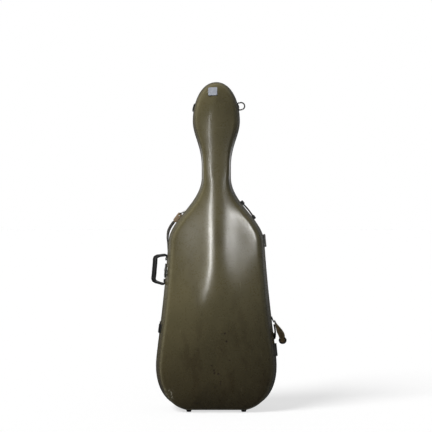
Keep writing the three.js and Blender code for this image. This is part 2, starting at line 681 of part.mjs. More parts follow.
function haspBody() {
  const h = hasp;
  const low = h.axisHeight - h.plate / 2;
  const profile = [[-h.axisReach, low], [h.tongueFrom, low], [h.tongueFrom, h.tongueFloor],
    [h.tongueFrom + h.tongue, h.tongueFloor], [h.tongueFrom + h.tongue, low], [h.tip, low],
    [h.tip, low + h.plate], [-h.axisReach, low + h.plate]];
  const width = 2 * h.half;
  const cheek = block(point(0, h.tongueHalf, -overrun), point(h.tip + clearance, h.half + clearance, low));
  const plan = plate(h.tip + h.axisReach + h.knuckle, width, 2 * overrun, h.corner, -overrun)
    .translate((h.tip - h.axisReach - h.knuckle) / 2, 0, 0);
  const leverPlate = cut(common(alongY(profile, width), plan), cheek, cheek.clone().scale(1, -1, 1));
  const knuckle = rodY(h.knuckle, width).translate(-h.axisReach, 0, h.axisHeight);
  const bore = rodY(h.pin + clearance, width + overrun, facets.smallSides).translate(-h.axisReach, 0, h.axisHeight);
  return cut(joined(leverPlate, knuckle), bore);
}

function addLock(place, level, length, dome) {
  const frame = wallFrame(-1, level, 0);
  add(backGroup, `lock_case_${place}`, seated(lockCase(length, dome), frame, backOutside), nickel, frame);
  add(lidGroup, `hasp_plate_${place}`, seated(haspPlate(), frame, lidOutside), nickel, frame);
  add(lidGroup, `hasp_${place}`, haspBody().applyMatrix4(frame), nickel, frame);
  const rise = dome + thumb.proud - lock.pocketFloor - clearance;
  const button = plate(thumb.width, thumb.length, rise, thumb.width / 4, lock.pocketFloor + clearance, thumb.bevel)
    .translate(lock.pocketCentre, -thumb.travel / 2, 0);
  add(backGroup, `lock_button_${place}`, button.applyMatrix4(frame), nickel, frame);
}

// Side handle

// One leg and its pin, in the frame's Y and Z: the pin lies in the bracket, and the leg leans in toward the grip.
function handleLeg(side) {
  const h = handle;
  const top = h.stand - h.axisHeight - h.gripThick / 2;
  const path = [[h.legHalf, -h.leg / 2], [h.legHalf, h.legBend], [h.gripHalf, top - h.legBend],
    [h.gripHalf - h.legBend, top], [h.gripHalf - 2 * h.legBend, top]];
  const leg = wire(path.map(([y, z]) => new THREE.Vector2(side * y, z)), h.leg, facets.smallSides);
  const inner = h.bracketCentre - h.bracketLength / 2 + clearance;
  return joined(leg, rodY(h.pin, h.legHalf - inner).translate(0, side * (h.legHalf + inner) / 2, 0));
}

function handleGrip() {
  const h = handle;
  const top = h.stand - h.axisHeight - h.gripThick / 2;
  const square = (value) => Math.sign(value) * Math.sqrt(Math.abs(value));
  const rings = gripShares.map(([place, size]) => Array.from({ length: facets.roundSides }, (_, k) => {
    const angle = k * 2 * Math.PI / facets.roundSides;
    return point(square(Math.cos(angle)) * size * h.gripWidth / 2, place * h.gripLength / 2,
      top + square(Math.sin(angle)) * size * h.gripThick / 2);
  }));
  return loft(rings);
}

function addHandle() {
  const h = handle;
  const frame = wallFrame(-1, levelAt(h.levelShare), h.reach);
  const axis = moved(frame, 0, 0, h.axisHeight);
  for (const [name, side] of [['upper', -1], ['lower', 1]]) {
    const top = h.axisHeight + h.bore + h.bracketCorner / 2;
    const bracket = plate(h.bracketWidth, h.bracketLength, top + h.axisHeight, h.bracketCorner, -h.axisHeight)
      .translate(0, side * h.bracketCentre, 0);
    const bore = rodY(h.bore + clearance, h.bracketLength + overrun, facets.smallSides)
      .translate(0, side * h.bracketCentre, h.axisHeight);
    add(backGroup, `handle_bracket_${name}`, seated(cut(bracket, bore), frame, backOutside), nickel, frame);
  }
  const bail = joined(handleLeg(-1), handleLeg(1), handleGrip());
  add(backGroup, 'side_handle', bail.applyMatrix4(axis), blackGrip, axis);
}

// Wire rings in their clips

function ringPath(r) {
  const half = r.width / 2 - r.wire;
  const straight = r.depth - 2 * r.wire - half;
  const arc = Array.from({ length: r.arcSteps + 1 }, (_, k) => {
    const angle = k * Math.PI / r.arcSteps;
    return new THREE.Vector2(half * Math.cos(angle), straight + half * Math.sin(angle));
  });
  return [new THREE.Vector2(half - r.bend, 0), new THREE.Vector2(half, r.bend), ...arc,
    new THREE.Vector2(-half, r.bend), new THREE.Vector2(r.bend - half, 0)];
}

function addRing(frame, clipName, ringName, foldDegrees, size = {}) {
  const r = { ...wireRing, ...size };
  const bore = r.wire + r.play;
  const height = clearance + r.boss;
  const plateSolid = plate(r.plateLength, r.plateWidth, r.plate + height, r.corner, -height);
  const boss = rodY(r.boss, r.bossLength).translate(0, 0, height);
  const hole = rodY(bore, r.bossLength + overrun, facets.smallSides).translate(0, 0, height);
  add(backGroup, clipName, seated(cut(joined(plateSolid, boss), hole), frame, backOutside), nickel, frame);
  const axis = turned(moved(frame, 0, 0, height), alongAxis, foldDegrees);
  add(backGroup, ringName, wire(ringPath(r), r.wire, facets.wireSides, true).applyMatrix4(axis), nickel, axis);
}

function addRings() {
  const clip = (side, share, reach) => wallFrame(side, levelAt(share), reach);
  const { rightShare, leftShare, leftFoldDegrees, reach, ...size } = headRing;
  addRing(clip(1, rightShare, reach), 'head_ring_clip_right', 'head_ring_right', 0, size);
  addRing(clip(-1, leftShare, reach), 'head_ring_clip_left', 'head_ring_left', leftFoldDegrees, size);
  const shoulder = turned(clip(-1, shoulderRing.levelShare, shoulderRing.reach), outAxis, 90);
  addRing(shoulder, 'shoulder_ring_clip', 'shoulder_ring', shoulderRing.foldDegrees);
  const hip = turned(clip(1, hipRing.levelShare, hipRing.reach), outAxis, -90);
  addRing(hip, 'hip_ring_clip', 'hip_ring', hipRing.foldDegrees);
}

// Carry strap, its tab, tail and buckle

// A shell's outside as something that a ray can meet.
function target(surface) {
  return new THREE.Mesh(shellWall(surface, 0, shell.wall), new THREE.MeshBasicMaterial({ side: THREE.DoubleSide }));
}

const backSkin = target(backSurface);

// The point and normal of the back shell's outside at a height and an angle round the back.
function onBack(level, angleDegrees) {
  const out = point(-Math.cos(angleDegrees * degree), Math.sin(angleDegrees * degree), 0);
  const from = point(0, strap.centre, level).addScaledVector(out, outline.height);
  const hit = new THREE.Raycaster(from, out.clone().negate()).intersectObject(backSkin)[0];
  return { place: hit.point, normal: hit.face.normal.clone() };
}

// A flat band through points, each with the direction that its face looks.
function band(stations, width, thickness) {
  const rings = stations.map(({ place, normal }, i) => {
    const before = stations[Math.max(i - 1, 0)].place;
    const after = stations[Math.min(i + 1, stations.length - 1)].place;
    const along = after.clone().sub(before).normalize();
    const across = along.clone().cross(normal).normalize();
    const up = across.clone().cross(along);
    return [[-1, 0], [1, 0], [1, 1], [-1, 1]].map(([side, top]) => place.clone()
      .addScaledVector(across, side * width / 2).addScaledVector(up, top * thickness));
  });
  return loft(rings);
}

function strapStations() {
  const { levelShares: places, turnDegrees, lifts } = strapRoute;
  const route = places.map((share, i) => point(levelAt(share), turnDegrees[i], lifts[i]));
  const curve = new THREE.CatmullRomCurve3(route, false, 'catmullrom');
  const raw = Array.from({ length: strap.samples }, (_, i) => {
    const at = curve.getPoint(i / (strap.samples - 1));
    const { place, normal } = onBack(at.x, at.y);
    return { place: place.addScaledVector(normal, at.z), normal };
  });
  return raw.map(({ place }, i) => {
    const near = raw.slice(Math.max(i - 2, 0), i + 3);
    const normal = near.reduce((sum, { normal: n }) => sum.add(n), new THREE.Vector3()).normalize();
    return { place, normal };
  });
}

function addStrap() {
  add(backGroup, 'carry_strap', cut(band(strapStations(), strap.width, strap.thickness), backOutside), webbing);
  const ringLevel = levelAt(shoulderRing.levelShare);
  const tabFrames = tab.drops.map((drop) => wallFrame(-1, ringLevel - drop, shoulderRing.reach));
  const tabCurve = new THREE.CatmullRomCurve3(tabFrames.map((frame) => point(0, 0, tab.lift).applyMatrix4(frame)));
  const front = point(0, -1, 0);
  const tabStations = tabCurve.getPoints(tab.steps).map((place) => ({ place, normal: front }));
  add(backGroup, 'strap_tab', band(tabStations, tab.width, tab.thickness), leather);
  const hook = new THREE.Vector3().setFromMatrixPosition(wallFrame(1, levelAt(hipRing.levelShare), hipRing.reach));
  const tailStations = tailRoute.outward.map((out, i) => {
    const twist = tailRoute.twistDegrees[i] * degree;
    const normal = point(1, 0, 1).normalize().multiplyScalar(Math.cos(twist)).addScaledVector(front, Math.sin(twist));
    return { place: point(hook.x + out, tail.reach, hook.z - tailRoute.down[i]), normal };
  });
  add(backGroup, 'strap_tail', band(tailStations, tail.width, tail.thickness), leather);
  const end = tailStations.at(-1).place;
  const flat = plate(buckle.width, buckle.length, buckle.thickness, buckle.corner - buckle.bevel, 0, buckle.bevel);
  const buckleFrame = new THREE.Matrix4().makeRotationX(Math.PI / 2)
    .setPosition(point(end.x + buckle.aside, end.y + tail.thickness / 2 + buckle.thickness, end.z - buckle.drop));
  add(backGroup, 'strap_buckle', flat.applyMatrix4(buckleFrame), blackGrip, buckleFrame);
}

// Short strap handle on the right shoulder

function addShoulderHandle() {
  const s = shoulderHandle;
  const [low, high] = [-1, 1].map((end) => levelAt(s.levelShare) + end * s.span / 2);
  const grip = [];
  for (let i = 0; i <= s.steps; i += 1) {
    const t = i / s.steps;
    const frame = wallFrame(1, THREE.MathUtils.lerp(low, high, t), s.reach);
    const place = point(0, 0, s.lift + s.bulge * Math.sin(Math.PI * t)).applyMatrix4(frame);
    grip.push({ place, normal: point(0, 0, 1).transformDirection(frame) });
  }
  const blocks = [['upper', high], ['lower', low]].map(([name, level]) => {
    const frame = wallFrame(1, level, s.reach);
    const body = plate(s.blockWidth, s.block, 2 * s.proud, s.corner, -s.proud, s.bevel);
    add(backGroup, `shoulder_handle_block_${name}`, seated(body, frame, backOutside), blackGrip, frame);
    return plate(s.blockWidth + 2 * clearance, s.block + 2 * clearance, 2 * s.proud + overrun, s.corner, -s.proud)
      .applyMatrix4(frame);
  });
  add(backGroup, 'shoulder_handle_strap', cut(band(grip, s.width, s.thickness), ...blocks, backOutside), webbing);
}

// Feet and corner buffers

function footReach(half) {
  return depthAt(half, half.wallShares, foot.height) - half.corner - foot.radius - clearance;
}

// Each foot stands under the flat of its shell's underside, clear of the round to the face.
function addFeet() {
  const f = foot;
  const height = f.height - clearance;
  for (const [group, name, half] of [[lidGroup, 'front', lid], [backGroup, 'back', back]]) {
    for (const [side, sign] of [['left', -1], ['right', 1]]) {
      const cup = new THREE.CylinderGeometry(f.radius, f.radius - f.taper, height, facets.footSides)
        .rotateX(Math.PI / 2);
      cup.translate(sign * (outline.baseHalf - f.inset), half.sign * footReach(half), height / 2);
      add(group, `${name}_foot_${side}`, cup, rubber);
    }
  }
}

function addBuffers() {
  const b = buffer;
  for (const [name, side] of [['left', -1], ['right', 1]]) {
    const rings = Array.from({ length: b.steps + 1 }, (_, i) => {
      const frame = wallFrame(side, THREE.MathUtils.lerp(b.low, b.high, i / b.steps), b.from);
      const size = i === 0 || i === b.steps ? b.proud - b.edge : b.proud;
      return [[0, -b.proud], [b.reach, -b.proud], [b.reach, size - b.edge], [b.reach - b.edge, size], [b.edge, size],
        [0, size - b.edge]].map(([x, z]) => point(x, 0, z).applyMatrix4(frame));
    });
    add(backGroup, `corner_buffer_${name}`, cut(loft(rings), backOutside), rubber);
  }
}

// Blank plate on the head

function addBadge() {
  const ray = new THREE.Raycaster(point(badge.across, -outline.height, outline.height - badge.drop), alongAxis);
  const hit = ray.intersectObject(target(lidSurface))[0];
  const out = hit.face.normal.clone();
  const along = out.clone().cross(point(1, 0, 0)).normalize();
  const frame = new THREE.Matrix4().makeBasis(along.clone().cross(out), along, out).setPosition(hit.point);
  const body = plate(badge.size, badge.size, 2 * badge.thickness, badge.corner, -badge.thickness);
  add(lidGroup, 'label_plate', seated(body, frame, lidOutside), nickel, frame);
}

// Soft fittings and the accessory box in the back shell

function softBlock(from, to) {
  const size = to.clone().sub(from);
  const middle = from.clone().add(to).multiplyScalar(0.5);
  return plate(size.x, size.z, size.y, pads.round, -size.y / 2, pads.round / 2).rotateX(Math.PI / 2)
    .translate(middle.x, middle.y, middle.z);
}

function addPads() {
  const { bottom, hip, shoulder, cradle } = pads;
  const cushion = softBlock(point(-bottom.half, bottom.from, bottom.low), point(bottom.half, bottom.to, bottom.high));
  add(backGroup, 'bottom_cushion', common(cushion, backInside), plush);
  for (const [name, pad] of [['hip', hip], ['shoulder', shoulder]]) {
    const [padLow, padHigh] = levelsOf(pad);
    const wall = new THREE.Vector3().setFromMatrixPosition(wallFrame(1, levelAt(pad.levelShare), pad.from)).x;
    const right = softBlock(point(wall - pad.width, pad.from, padLow), point(wall + overrun, pad.to, padHigh));
    add(backGroup, `${name}_pad_right`, common(right, backInside), plush);
    const left = softBlock(point(-wall - overrun, pad.from, padLow), point(pad.width - wall, pad.to, padHigh));
    add(backGroup, `${name}_pad_left`, common(left, backInside), plush);
  }
  const [low, high] = levelsOf(cradle);
  const saddle = block(point(-outline.neckHalf, cradle.from, low), point(outline.neckHalf, back.depth, high));
  const throat = new THREE.CylinderGeometry(cradle.throat, cradle.throat, 2 * outline.neckHalf, facets.footSides)
    .rotateX(Math.PI / 2).translate(0, cradle.from, low);
  add(backGroup, 'neck_cradle', cut(common(saddle, backInside), throat), plush);
  const n = neckStrap;
  const arch = new THREE.CatmullRomCurve3(archShares.map(([x, y]) => point(x * n.half,
    cradle.from - clearance - y * n.rise, (low + high) / 2)));
  const stations = arch.getPoints(n.steps).map((place) => ({ place, normal: point(0, -1, 0) }));
  add(backGroup, 'neck_strap', band(stations, n.width, n.thickness), webbing);
}

function addAccessoryBox() {
  const b = box;
  const [low, high] = levelsOf(b);
  const floor = depthAt(back, back.crownShares, high) - liningInside - b.sole;
  const outer = block(point(-b.half, b.from, low), point(b.half, back.depth, high));
  const inner = block(point(-b.half + b.wall, -overrun, low + b.wall), point(b.half - b.wall, floor, high - b.wall));
  const axis = point(-b.half - b.barrel, b.from - b.barrel - clearance, (low + high) / 2);
  const rod = (radius, length, z) => rodZ(radius, -length / 2, length / 2).translate(axis.x, axis.y, z);
  const ears = [-1, 1].map((end) => {
    const z = axis.z + end * (b.tall + b.ear) / 2;
    const from = point(axis.x - b.barrel, axis.y - b.barrel, z - b.ear / 2);
    const to = point(-b.half + b.wall, b.from + 2 * b.ear, z + b.ear / 2);
    return joined(block(from, to), rod(b.pin, 3 * b.ear, z));
  });
  const tray = joined(cut(common(outer, backInside), inner), ...ears);
  add(backGroup, 'accessory_box', tray, plush);
  const room = 2 * clearance;
  const cover = block(point(axis.x, b.from - clearance - b.cover, low + room),
    point(b.half, b.from - clearance, high - room));
  const barrel = rod(b.barrel, b.tall - 2 * room, axis.z);
  const bore = rod(b.pin + clearance, b.tall + overrun, axis.z);
  const frame = new THREE.Matrix4().makeTranslation(axis);
  add(backGroup, 'accessory_box_lid', cut(joined(cover, barrel), bore), plush, frame);
}

// Bow holders in the lid

const bowRestTop = lid.depth - bowRest.height;

function addBowHolders() {
  const r = bowRest;
  const t = turnButton;
  const [low, high] = levelsOf(r);
  const middle = (low + high) / 2;
  const groove = (side) => rodZ(r.groove, -outline.height, outline.height, facets.footSides)
    .translate(side * r.grooveAcross, -bowRestTop, middle);
  const hole = (side) => rodY(t.stem + clearance, 2 * (t.stemLength + 2 * clearance))
    .translate(side * r.pivotAcross, -bowRestTop, middle);
  const rest = softBlock(point(-r.half, -lid.depth, low), point(r.half, -bowRestTop, high));
  add(lidGroup, 'bow_rest_block', cut(common(rest, lidInside), groove(-1), groove(1), hole(-1), hole(1)), plush);
  for (const [name, side] of [['left', -1], ['right', 1]]) {
    const frame = new THREE.Matrix4().makeRotationX(-Math.PI / 2)
      .setPosition(point(side * r.pivotAcross, -bowRestTop + clearance, middle));
    const bar = plate(t.length, t.width, t.thickness, t.width / 3).translate(-side * (t.length - t.width) / 2, 0, 0);
    const stem = rodZ(t.stem, -t.stemLength, t.thickness / 2);
    const knob = rodZ(t.knob, t.thickness / 2, t.thickness + t.knobHeight);
    add(lidGroup, `bow_turn_button_${name}`, joined(bar, stem, knob).applyMatrix4(frame), blackGrip, frame);
  }
  const p = tipPocket;
  const [pocketLow, pocketHigh] = levelsOf(p);
  const body = block(point(-p.half, -lid.depth, pocketLow), point(p.half, -p.top, pocketHigh));
  const mouth = block(point(-p.half + p.wall, -p.top - p.wall - p.mouth, pocketLow - overrun),
    point(p.half - p.wall, -p.top - p.wall, pocketHigh - p.wall));
  add(lidGroup, 'bow_tip_pocket', cut(common(body, lidInside), mouth), plush);
}

addShells();
addHinge('upper', levelAt(hinge.upperShare));
addHinge('lower', levelAt(hinge.lowerShare));
addLock('upper', levelAt(lock.upperShare), lock.upperLength, lock.upperDome);
addLock('lower', levelAt(lock.lowerShare), lock.lowerLength, lock.lowerDome);
addHandle();
addRings();
addStrap();
addShoulderHandle();
addFeet();
addBuffers();
addBadge();
addPads();
addAccessoryBox();
addBowHolders();

// The origin is the middle of the underside of the whole case.
const bounds = new THREE.Box3().setFromObject(caseGroup, true);
caseGroup.position.set(-(bounds.min.x + bounds.max.x) / 2, -(bounds.min.y + bounds.max.y) / 2, -bounds.min.z);
const cello_case = new THREE.Group();
cello_case.add(caseGroup);

export default cello_case;
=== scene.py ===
"""A cello hard case, closed and standing on its feet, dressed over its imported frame.

Sizes are millimetres in the case's own frame: X across, Y from the seam toward the back, Z up from the floor.
settle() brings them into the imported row's frame, in metres. The outline, the depths and the routes repeat the
numbers of the part's source, so that each piece lies where its solid lies."""

import json
import math

import bmesh
import bpy
import numpy as np
from mathutils import Matrix, Vector
from mathutils.bvhtree import BVHTree

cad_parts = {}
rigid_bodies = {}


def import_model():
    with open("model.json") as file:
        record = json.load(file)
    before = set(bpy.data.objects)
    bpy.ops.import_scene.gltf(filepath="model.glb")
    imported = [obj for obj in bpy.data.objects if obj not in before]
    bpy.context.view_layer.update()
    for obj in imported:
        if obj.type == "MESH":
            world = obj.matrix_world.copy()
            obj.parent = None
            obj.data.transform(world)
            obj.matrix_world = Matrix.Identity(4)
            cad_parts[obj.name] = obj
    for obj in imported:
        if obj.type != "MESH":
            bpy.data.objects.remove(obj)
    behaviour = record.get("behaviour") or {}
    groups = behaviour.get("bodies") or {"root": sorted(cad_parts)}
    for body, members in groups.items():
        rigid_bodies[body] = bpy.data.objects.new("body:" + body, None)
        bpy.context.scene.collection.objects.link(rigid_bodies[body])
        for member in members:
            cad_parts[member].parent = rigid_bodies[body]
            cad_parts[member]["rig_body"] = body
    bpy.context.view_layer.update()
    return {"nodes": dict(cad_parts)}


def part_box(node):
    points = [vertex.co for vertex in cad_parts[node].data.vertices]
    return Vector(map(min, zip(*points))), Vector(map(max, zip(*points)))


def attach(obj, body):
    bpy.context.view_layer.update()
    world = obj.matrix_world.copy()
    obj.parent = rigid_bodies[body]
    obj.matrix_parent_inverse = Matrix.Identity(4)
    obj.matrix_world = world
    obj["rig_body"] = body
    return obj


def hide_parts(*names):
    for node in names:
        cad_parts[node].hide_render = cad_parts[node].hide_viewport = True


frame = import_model()
shell_edge = 2.8  # a shell ends this far from the seam, inside its rim
lid_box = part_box("front_shell")
offset = np.array([(lid_box[0].x + lid_box[1].x) * 500, lid_box[1].y * 1000 + shell_edge, 0.0])

# Outline of the seam and depths of the two shells

height, foot_height, proud, land = 1350.0, 9.0, 1.6, 14.0
base_half, lower_half, upper_half, neck_half, head_half = 124.0, 248.5, 198.0, 60.0, 97.0
lower_level, upper_level, neck_level, throat_level, head_level = (
    height * share for share in (0.137, 0.5111, 0.7111, 0.7407, 0.8815))
corner_across, crown_across, upper_lean = 80.0, 62.0, 0.07
outline_steps = (1, 5, 4, 6, 1, 4, 6)
level_shares = np.array([0, 0.13, 0.335, 0.563, 0.725, 0.89, 1])
spine_levels = (0.126 * height, 0.937 * height)
lid = dict(sign=-1, depth=135.0, draft=15.0, corner=18.0, corner_share=0.22,
           crown=(0.74, 0.85, 1, 0.74, 0.556, 0.533, 0.5), wall=(0.55, 0.58, 0.62, 0.52, 0.49, 0.4, 0.33),
           ridge=(0, 0, 0.09, 0.105, 0.05, 0.04, 0))
back = dict(sign=1, depth=150.0, draft=4.0, corner=30.0, corner_share=0.35,
            crown=(0.9, 1, 1, 0.93, 0.7, 0.67, 0.62), wall=(0.72, 0.74, 0.74, 0.66, 0.5, 0.46, 0.42),
            ridge=(0, 0, 0, 0, 0, 0, 0))
halves = {"front": lid, "back": back}
ridge_spread, ridge_levels = 46.0, np.array([0, 0.35, 0.46, 0.563, 0.725, 0.85, 1])
neck_share, neck_spread, neck_easing = 0.745, 0.06, 0.5
shell_wall, clearance = 3.5, 0.3
rim_leg, rim_web, rim_inner, lip_gap, lip, lip_reach = 12.0, 2.2, 1.8, 1.0, 1.8, 5.0
column_fineness, soft_angle = 8, 38.0
to_front = np.array([0, -1.0, 0])


def unit(v):
    """Each row of v divided by its length."""
    return v / np.linalg.norm(v, axis=-1, keepdims=True)


def settle(points):
    """Case millimetres to the row's metres: the case's offset is added, then all is divided by 1000."""
    return (np.asarray(points, float) + offset) / 1000


def unsettle(points):
    """The row's metres back to case millimetres."""
    return np.asarray(points, float) * 1000 - offset


def bezier(points, t):
    """Bernstein sum of the control points at each share t."""
    points, t = np.asarray(points, float), np.asarray(t, float)[..., None]
    n = len(points) - 1
    return sum(math.comb(n, k) * (1 - t) ** (n - k) * t ** k * points[k] for k in range(n + 1))


def through(levels, values, level):
    """Cubic Hermite curve through the values; each slope is that of the line between the two neighbours."""
    values = np.asarray(values, float)
    at = np.clip(level, levels[0], levels[-1])
    k = np.clip(np.searchsorted(levels, at, side="right") - 1, 0, len(levels) - 2)
    low = np.maximum(np.arange(len(levels)) - 1, 0)
    high = np.minimum(np.arange(len(levels)) + 1, len(levels) - 1)
    slope = (values[high] - values[low]) / (levels[high] - levels[low])
    span = levels[k + 1] - levels[k]
    t = (at - levels[k]) / span
    ease = t * t * (3 - 2 * t)
    bow = slope[k] * (1 - t) - slope[k + 1] * t
    return values[k] * (1 - ease) + values[k + 1] * ease + span * t * (1 - t) * bow


def smooth_curve(points, count):
    """Uniform Catmull-Rom curve through the points, its ends continued straight, at count even shares."""
    points = np.asarray(points, float)
    p = np.vstack([2 * points[0] - points[1], points, 2 * points[-1] - points[-2]])
    s = np.linspace(0, len(points) - 1, count)
    i = np.minimum(s.astype(int), len(points) - 2)
    f = (s - i)[:, None]
    a, b, c, d = p[i], p[i + 1], p[i + 2], p[i + 3]
    return (b + (c - a) * f / 2 + (2 * a - 5 * b + 4 * c - d) * f ** 2 / 2
            + (3 * b - a - 3 * c + d) * f ** 3 / 2)


def outline_columns(fineness):
    """Points (x, z) and outward normals round the seam: straight lines and cubic curves between the widest
    and narrowest places, mirrored about x = 0. A normal is the mean of those of the two chords that meet."""
    def at(half, level):
        return np.array([half - proud, level])

    def leaning(level):
        return at(upper_half + (upper_level - level) * upper_lean, level)

    def between(low, high, share):
        return low + (high - low) * share

    base, top = foot_height, height - proud
    underside, hip, chest = at(base_half, base), at(lower_half, lower_level), at(upper_half, upper_level)
    nape, throat, temple = at(neck_half, neck_level), at(neck_half, throat_level), at(head_half, head_level)
    spans = [
        [np.array([0, base]), underside],
        [underside, at(base_half + corner_across, between(base, lower_level, 0.085)),
         at(lower_half, between(base, lower_level, 0.432)), hip],
        [hip, at(lower_half, between(lower_level, upper_level, 0.119)),
         leaning(between(lower_level, upper_level, 0.406)), chest],
        [chest, leaning(between(upper_level, neck_level, 0.37)),
         at(neck_half, between(upper_level, neck_level, 0.593)), nape],
        [nape, throat],
        [throat, at(neck_half, between(throat_level, head_level, 0.474)),
         at(head_half, between(throat_level, head_level, 0.684)), temple],
        [temple, at(head_half, between(head_level, top, 0.505)), at(crown_across, top),
         np.array([0, top])],
    ]
    right = np.concatenate([bezier(span, np.arange(steps * fineness) / (steps * fineness))
                            for span, steps in zip(spans, outline_steps)] + [[[0, top]]])
    points = np.concatenate([right, right[1:-1][::-1] * [-1, 1]])
    chord = unit(np.roll(points, -1, axis=0) - points)
    outward = np.stack([chord[:, 1], -chord[:, 0]], -1)
    return points, unit(outward + np.roll(outward, 1, axis=0))


coarse_columns = outline_columns(1)
fine_columns = outline_columns(column_fineness)


def depth_at(half, shares, level):
    """Depth from the seam at a height: the shell's depth times the curve through its shares."""
    return half["depth"] * through(level_shares, shares, level / height)


def draft_inset(half, reach, normal_z, level=0.0):
    """How far the wall has moved in at a distance from the seam: past the land it leans by the draft. The
    lean dies out where the wall turns under the case, and is eased by a bell-shaped share at the neck."""
    lean = math.tan(math.radians(half["draft"])) * (1 - np.maximum(0, -normal_z) ** 3)
    easing = neck_easing * np.exp(-((level / height - neck_share) / neck_spread) ** 2)
    return np.maximum(0, reach - land) * lean * (1 - easing)


def shell_grid(half, wall_rows, bend_rows, crown_rows, first):
    """Point (column, row) of a shell's outer skin: up the drafted wall from the seam, round the edge on a
    quadratic curve, then over the crown to the spine, the line where the shell is deepest. The crown falls
    from the spine by a bell-shaped ridge and by a parabola that takes up the rest."""
    (x, z), (nx, nz) = (values.T[:, :, None] for values in fine_columns)
    wall = depth_at(half, half["wall"], z)
    spine = np.interp(z, [foot_height, height], spine_levels)
    crown = depth_at(half, half["crown"], spine)

    def on_wall(reach):
        inset = draft_inset(half, reach, nz, z)
        return np.stack(np.broadcast_arrays(x - nx * inset, half["sign"] * reach, z - nz * inset), -1)

    edge = on_wall(wall)
    ridge = half["depth"] * np.maximum(0, through(ridge_levels, half["ridge"], spine / height))

    def ridge_fall(aside):
        return ridge * (1 - np.exp(-(aside / ridge_spread) ** 2 / 2))

    def on_crown(t):
        aside = edge[..., 0] * (1 - t)
        bow_fall = (crown - wall - ridge_fall(edge[..., 0])) * (1 - t) ** 2
        return np.stack(np.broadcast_arrays(aside, half["sign"] * (crown - ridge_fall(aside) - bow_fall),
                                            edge[..., 2] + (spine - edge[..., 2]) * t), -1)

    across = np.hypot(edge[..., 0], edge[..., 2] - spine)
    corner = np.minimum(half["corner"], half["corner_share"] * across)
    start = on_wall(wall - corner)
    turn = corner / across
    end = on_crown(turn)
    s = np.linspace(0, 1, bend_rows + 1)[None, :, None]
    bend = start * (1 - s) ** 2 + 2 * edge * s * (1 - s) + end * s ** 2
    climb = np.linspace(0, 1, wall_rows + 1)[None, :-1]
    rise = on_crown(turn + (1 - turn) * np.linspace(0, 1, crown_rows + 1)[None, 1:])
    return np.concatenate([on_wall(np.full_like(z, first)), on_wall(land + (wall - corner - land) * climb),
                           bend, rise], axis=1)


def make_frame(x, y, z, place):
    """A 4x4 frame from its three axes and its origin."""
    result = np.eye(4)
    result[:3] = np.stack([x, y, z, place], -1)
    return result


def facing_front(place):
    """A frame at a place whose Z points to the front and whose Y points up."""
    return make_frame([1, 0, 0], [0, 0, 1], [0, -1, 0], place)


def wall_frame(side, level, reach, columns=fine_columns):
    """A 4x4 frame on the outside of a wall: X runs toward the back of the case, Z points out, Y runs along
    the wall. side is 1 on the right and -1 on the left; reach is the distance from the seam, negative on
    the lid."""
    points, normals = columns
    top = len(points) // 2
    upper = int(np.argmax(points[:top + 1, 1] > level))
    low, high = points[upper - 1], points[upper]
    t = (level - low[1]) / (high[1] - low[1])
    half = lid if reach < 0 else back
    normal = normals[upper - 1] * (1 - t) + normals[upper] * t
    inset = draft_inset(half, abs(reach), normal[1])
    chord = unit(np.array([high[1] - low[1], low[0] - high[0]]))
    lean = math.radians(half["draft"]) if abs(reach) > land else 0.0
    out = np.array([side * chord[0] * math.cos(lean), half["sign"] * math.sin(lean),
                    chord[1] * math.cos(lean)])
    along = unit(np.cross(out, [0, 1, 0]))
    across = side * (low[0] * (1 - t) + high[0] * t - normal[0] * inset)
    return make_frame(np.cross(along, out), along, out, [across, reach, level - normal[1] * inset])


def shifted(where, x=0.0, y=0.0, z=0.0):
    """The same frame with its origin moved by x, y and z along its own axes."""
    result = where.copy()
    result[:3, 3] += where[:3, :3] @ [x, y, z]
    return result


def turned(where, axis, degrees):
    """The same frame turned about one of its own axes."""
    return where @ np.array(Matrix.Rotation(math.radians(degrees), 4, axis))


def into(where, points):
    """Points of a frame as points of the case."""
    return np.asarray(points, float) @ where[:3, :3].T + where[:3, 3]


# Meshes

def grid_faces(rows, columns, loop=False, wrap=True):
    """Quads of a grid numbered row by row; wrap joins the last column to the first, loop the last row."""
    r = np.arange(rows if loop else rows - 1)[:, None]
    c = np.arange(columns if wrap else columns - 1)[None]
    near, far, beside = r * columns, (r + 1) % rows * columns, (c + 1) % columns
    return np.stack([near + c, near + beside, far + beside, far + c], -1).reshape(-1, 4)


def grid_uv(u, v, rows, columns, loop):
    """The u of each column and v of each row at the four corners of each quad of grid_faces()."""
    r, c = np.arange(rows if loop else rows - 1)[:, None], np.arange(columns)[None]
    corners = [(c, r), (c + 1, r), (c + 1, r + 1), (c, r + 1)]
    pairs = [np.stack(np.broadcast_arrays(u[i], v[j]), -1) for i, j in corners]
    return np.stack(pairs, 2).reshape(-1, 2)


def add_object(name, data):
    """An object with this data, in the scene."""
    made = bpy.data.objects.new(name, data)
    bpy.context.scene.collection.objects.link(made)
    return made


def mesh_piece(name, points, faces, uv=None, merge=None, sharp=35.0, closed=True):
    """An object from case millimetres and faces. Doubles closer than merge are joined, a closed skin has its
    faces turned outward, and edges that bend more than sharp degrees stay crisp."""
    mesh = bpy.data.meshes.new(name)
    mesh.from_pydata(settle(points).tolist(), [], [list(face) for face in faces])
    if uv is not None:
        layer = mesh.uv_layers.new(name="UVMap")
        full = np.zeros((len(mesh.loops), 2))
        full[:len(uv)] = uv
        layer.data.foreach_set("uv", full.ravel())
    bm = bmesh.new()
    bm.from_mesh(mesh)
    if merge:
        bmesh.ops.remove_doubles(bm, verts=bm.verts, dist=merge / 1000)
    if closed:
        bmesh.ops.recalc_face_normals(bm, faces=bm.faces)
    bm.to_mesh(mesh)
    bm.free()
    mesh.shade_smooth()
    mesh.set_sharp_from_angle(angle=math.radians(sharp))
    return add_object(name, mesh)


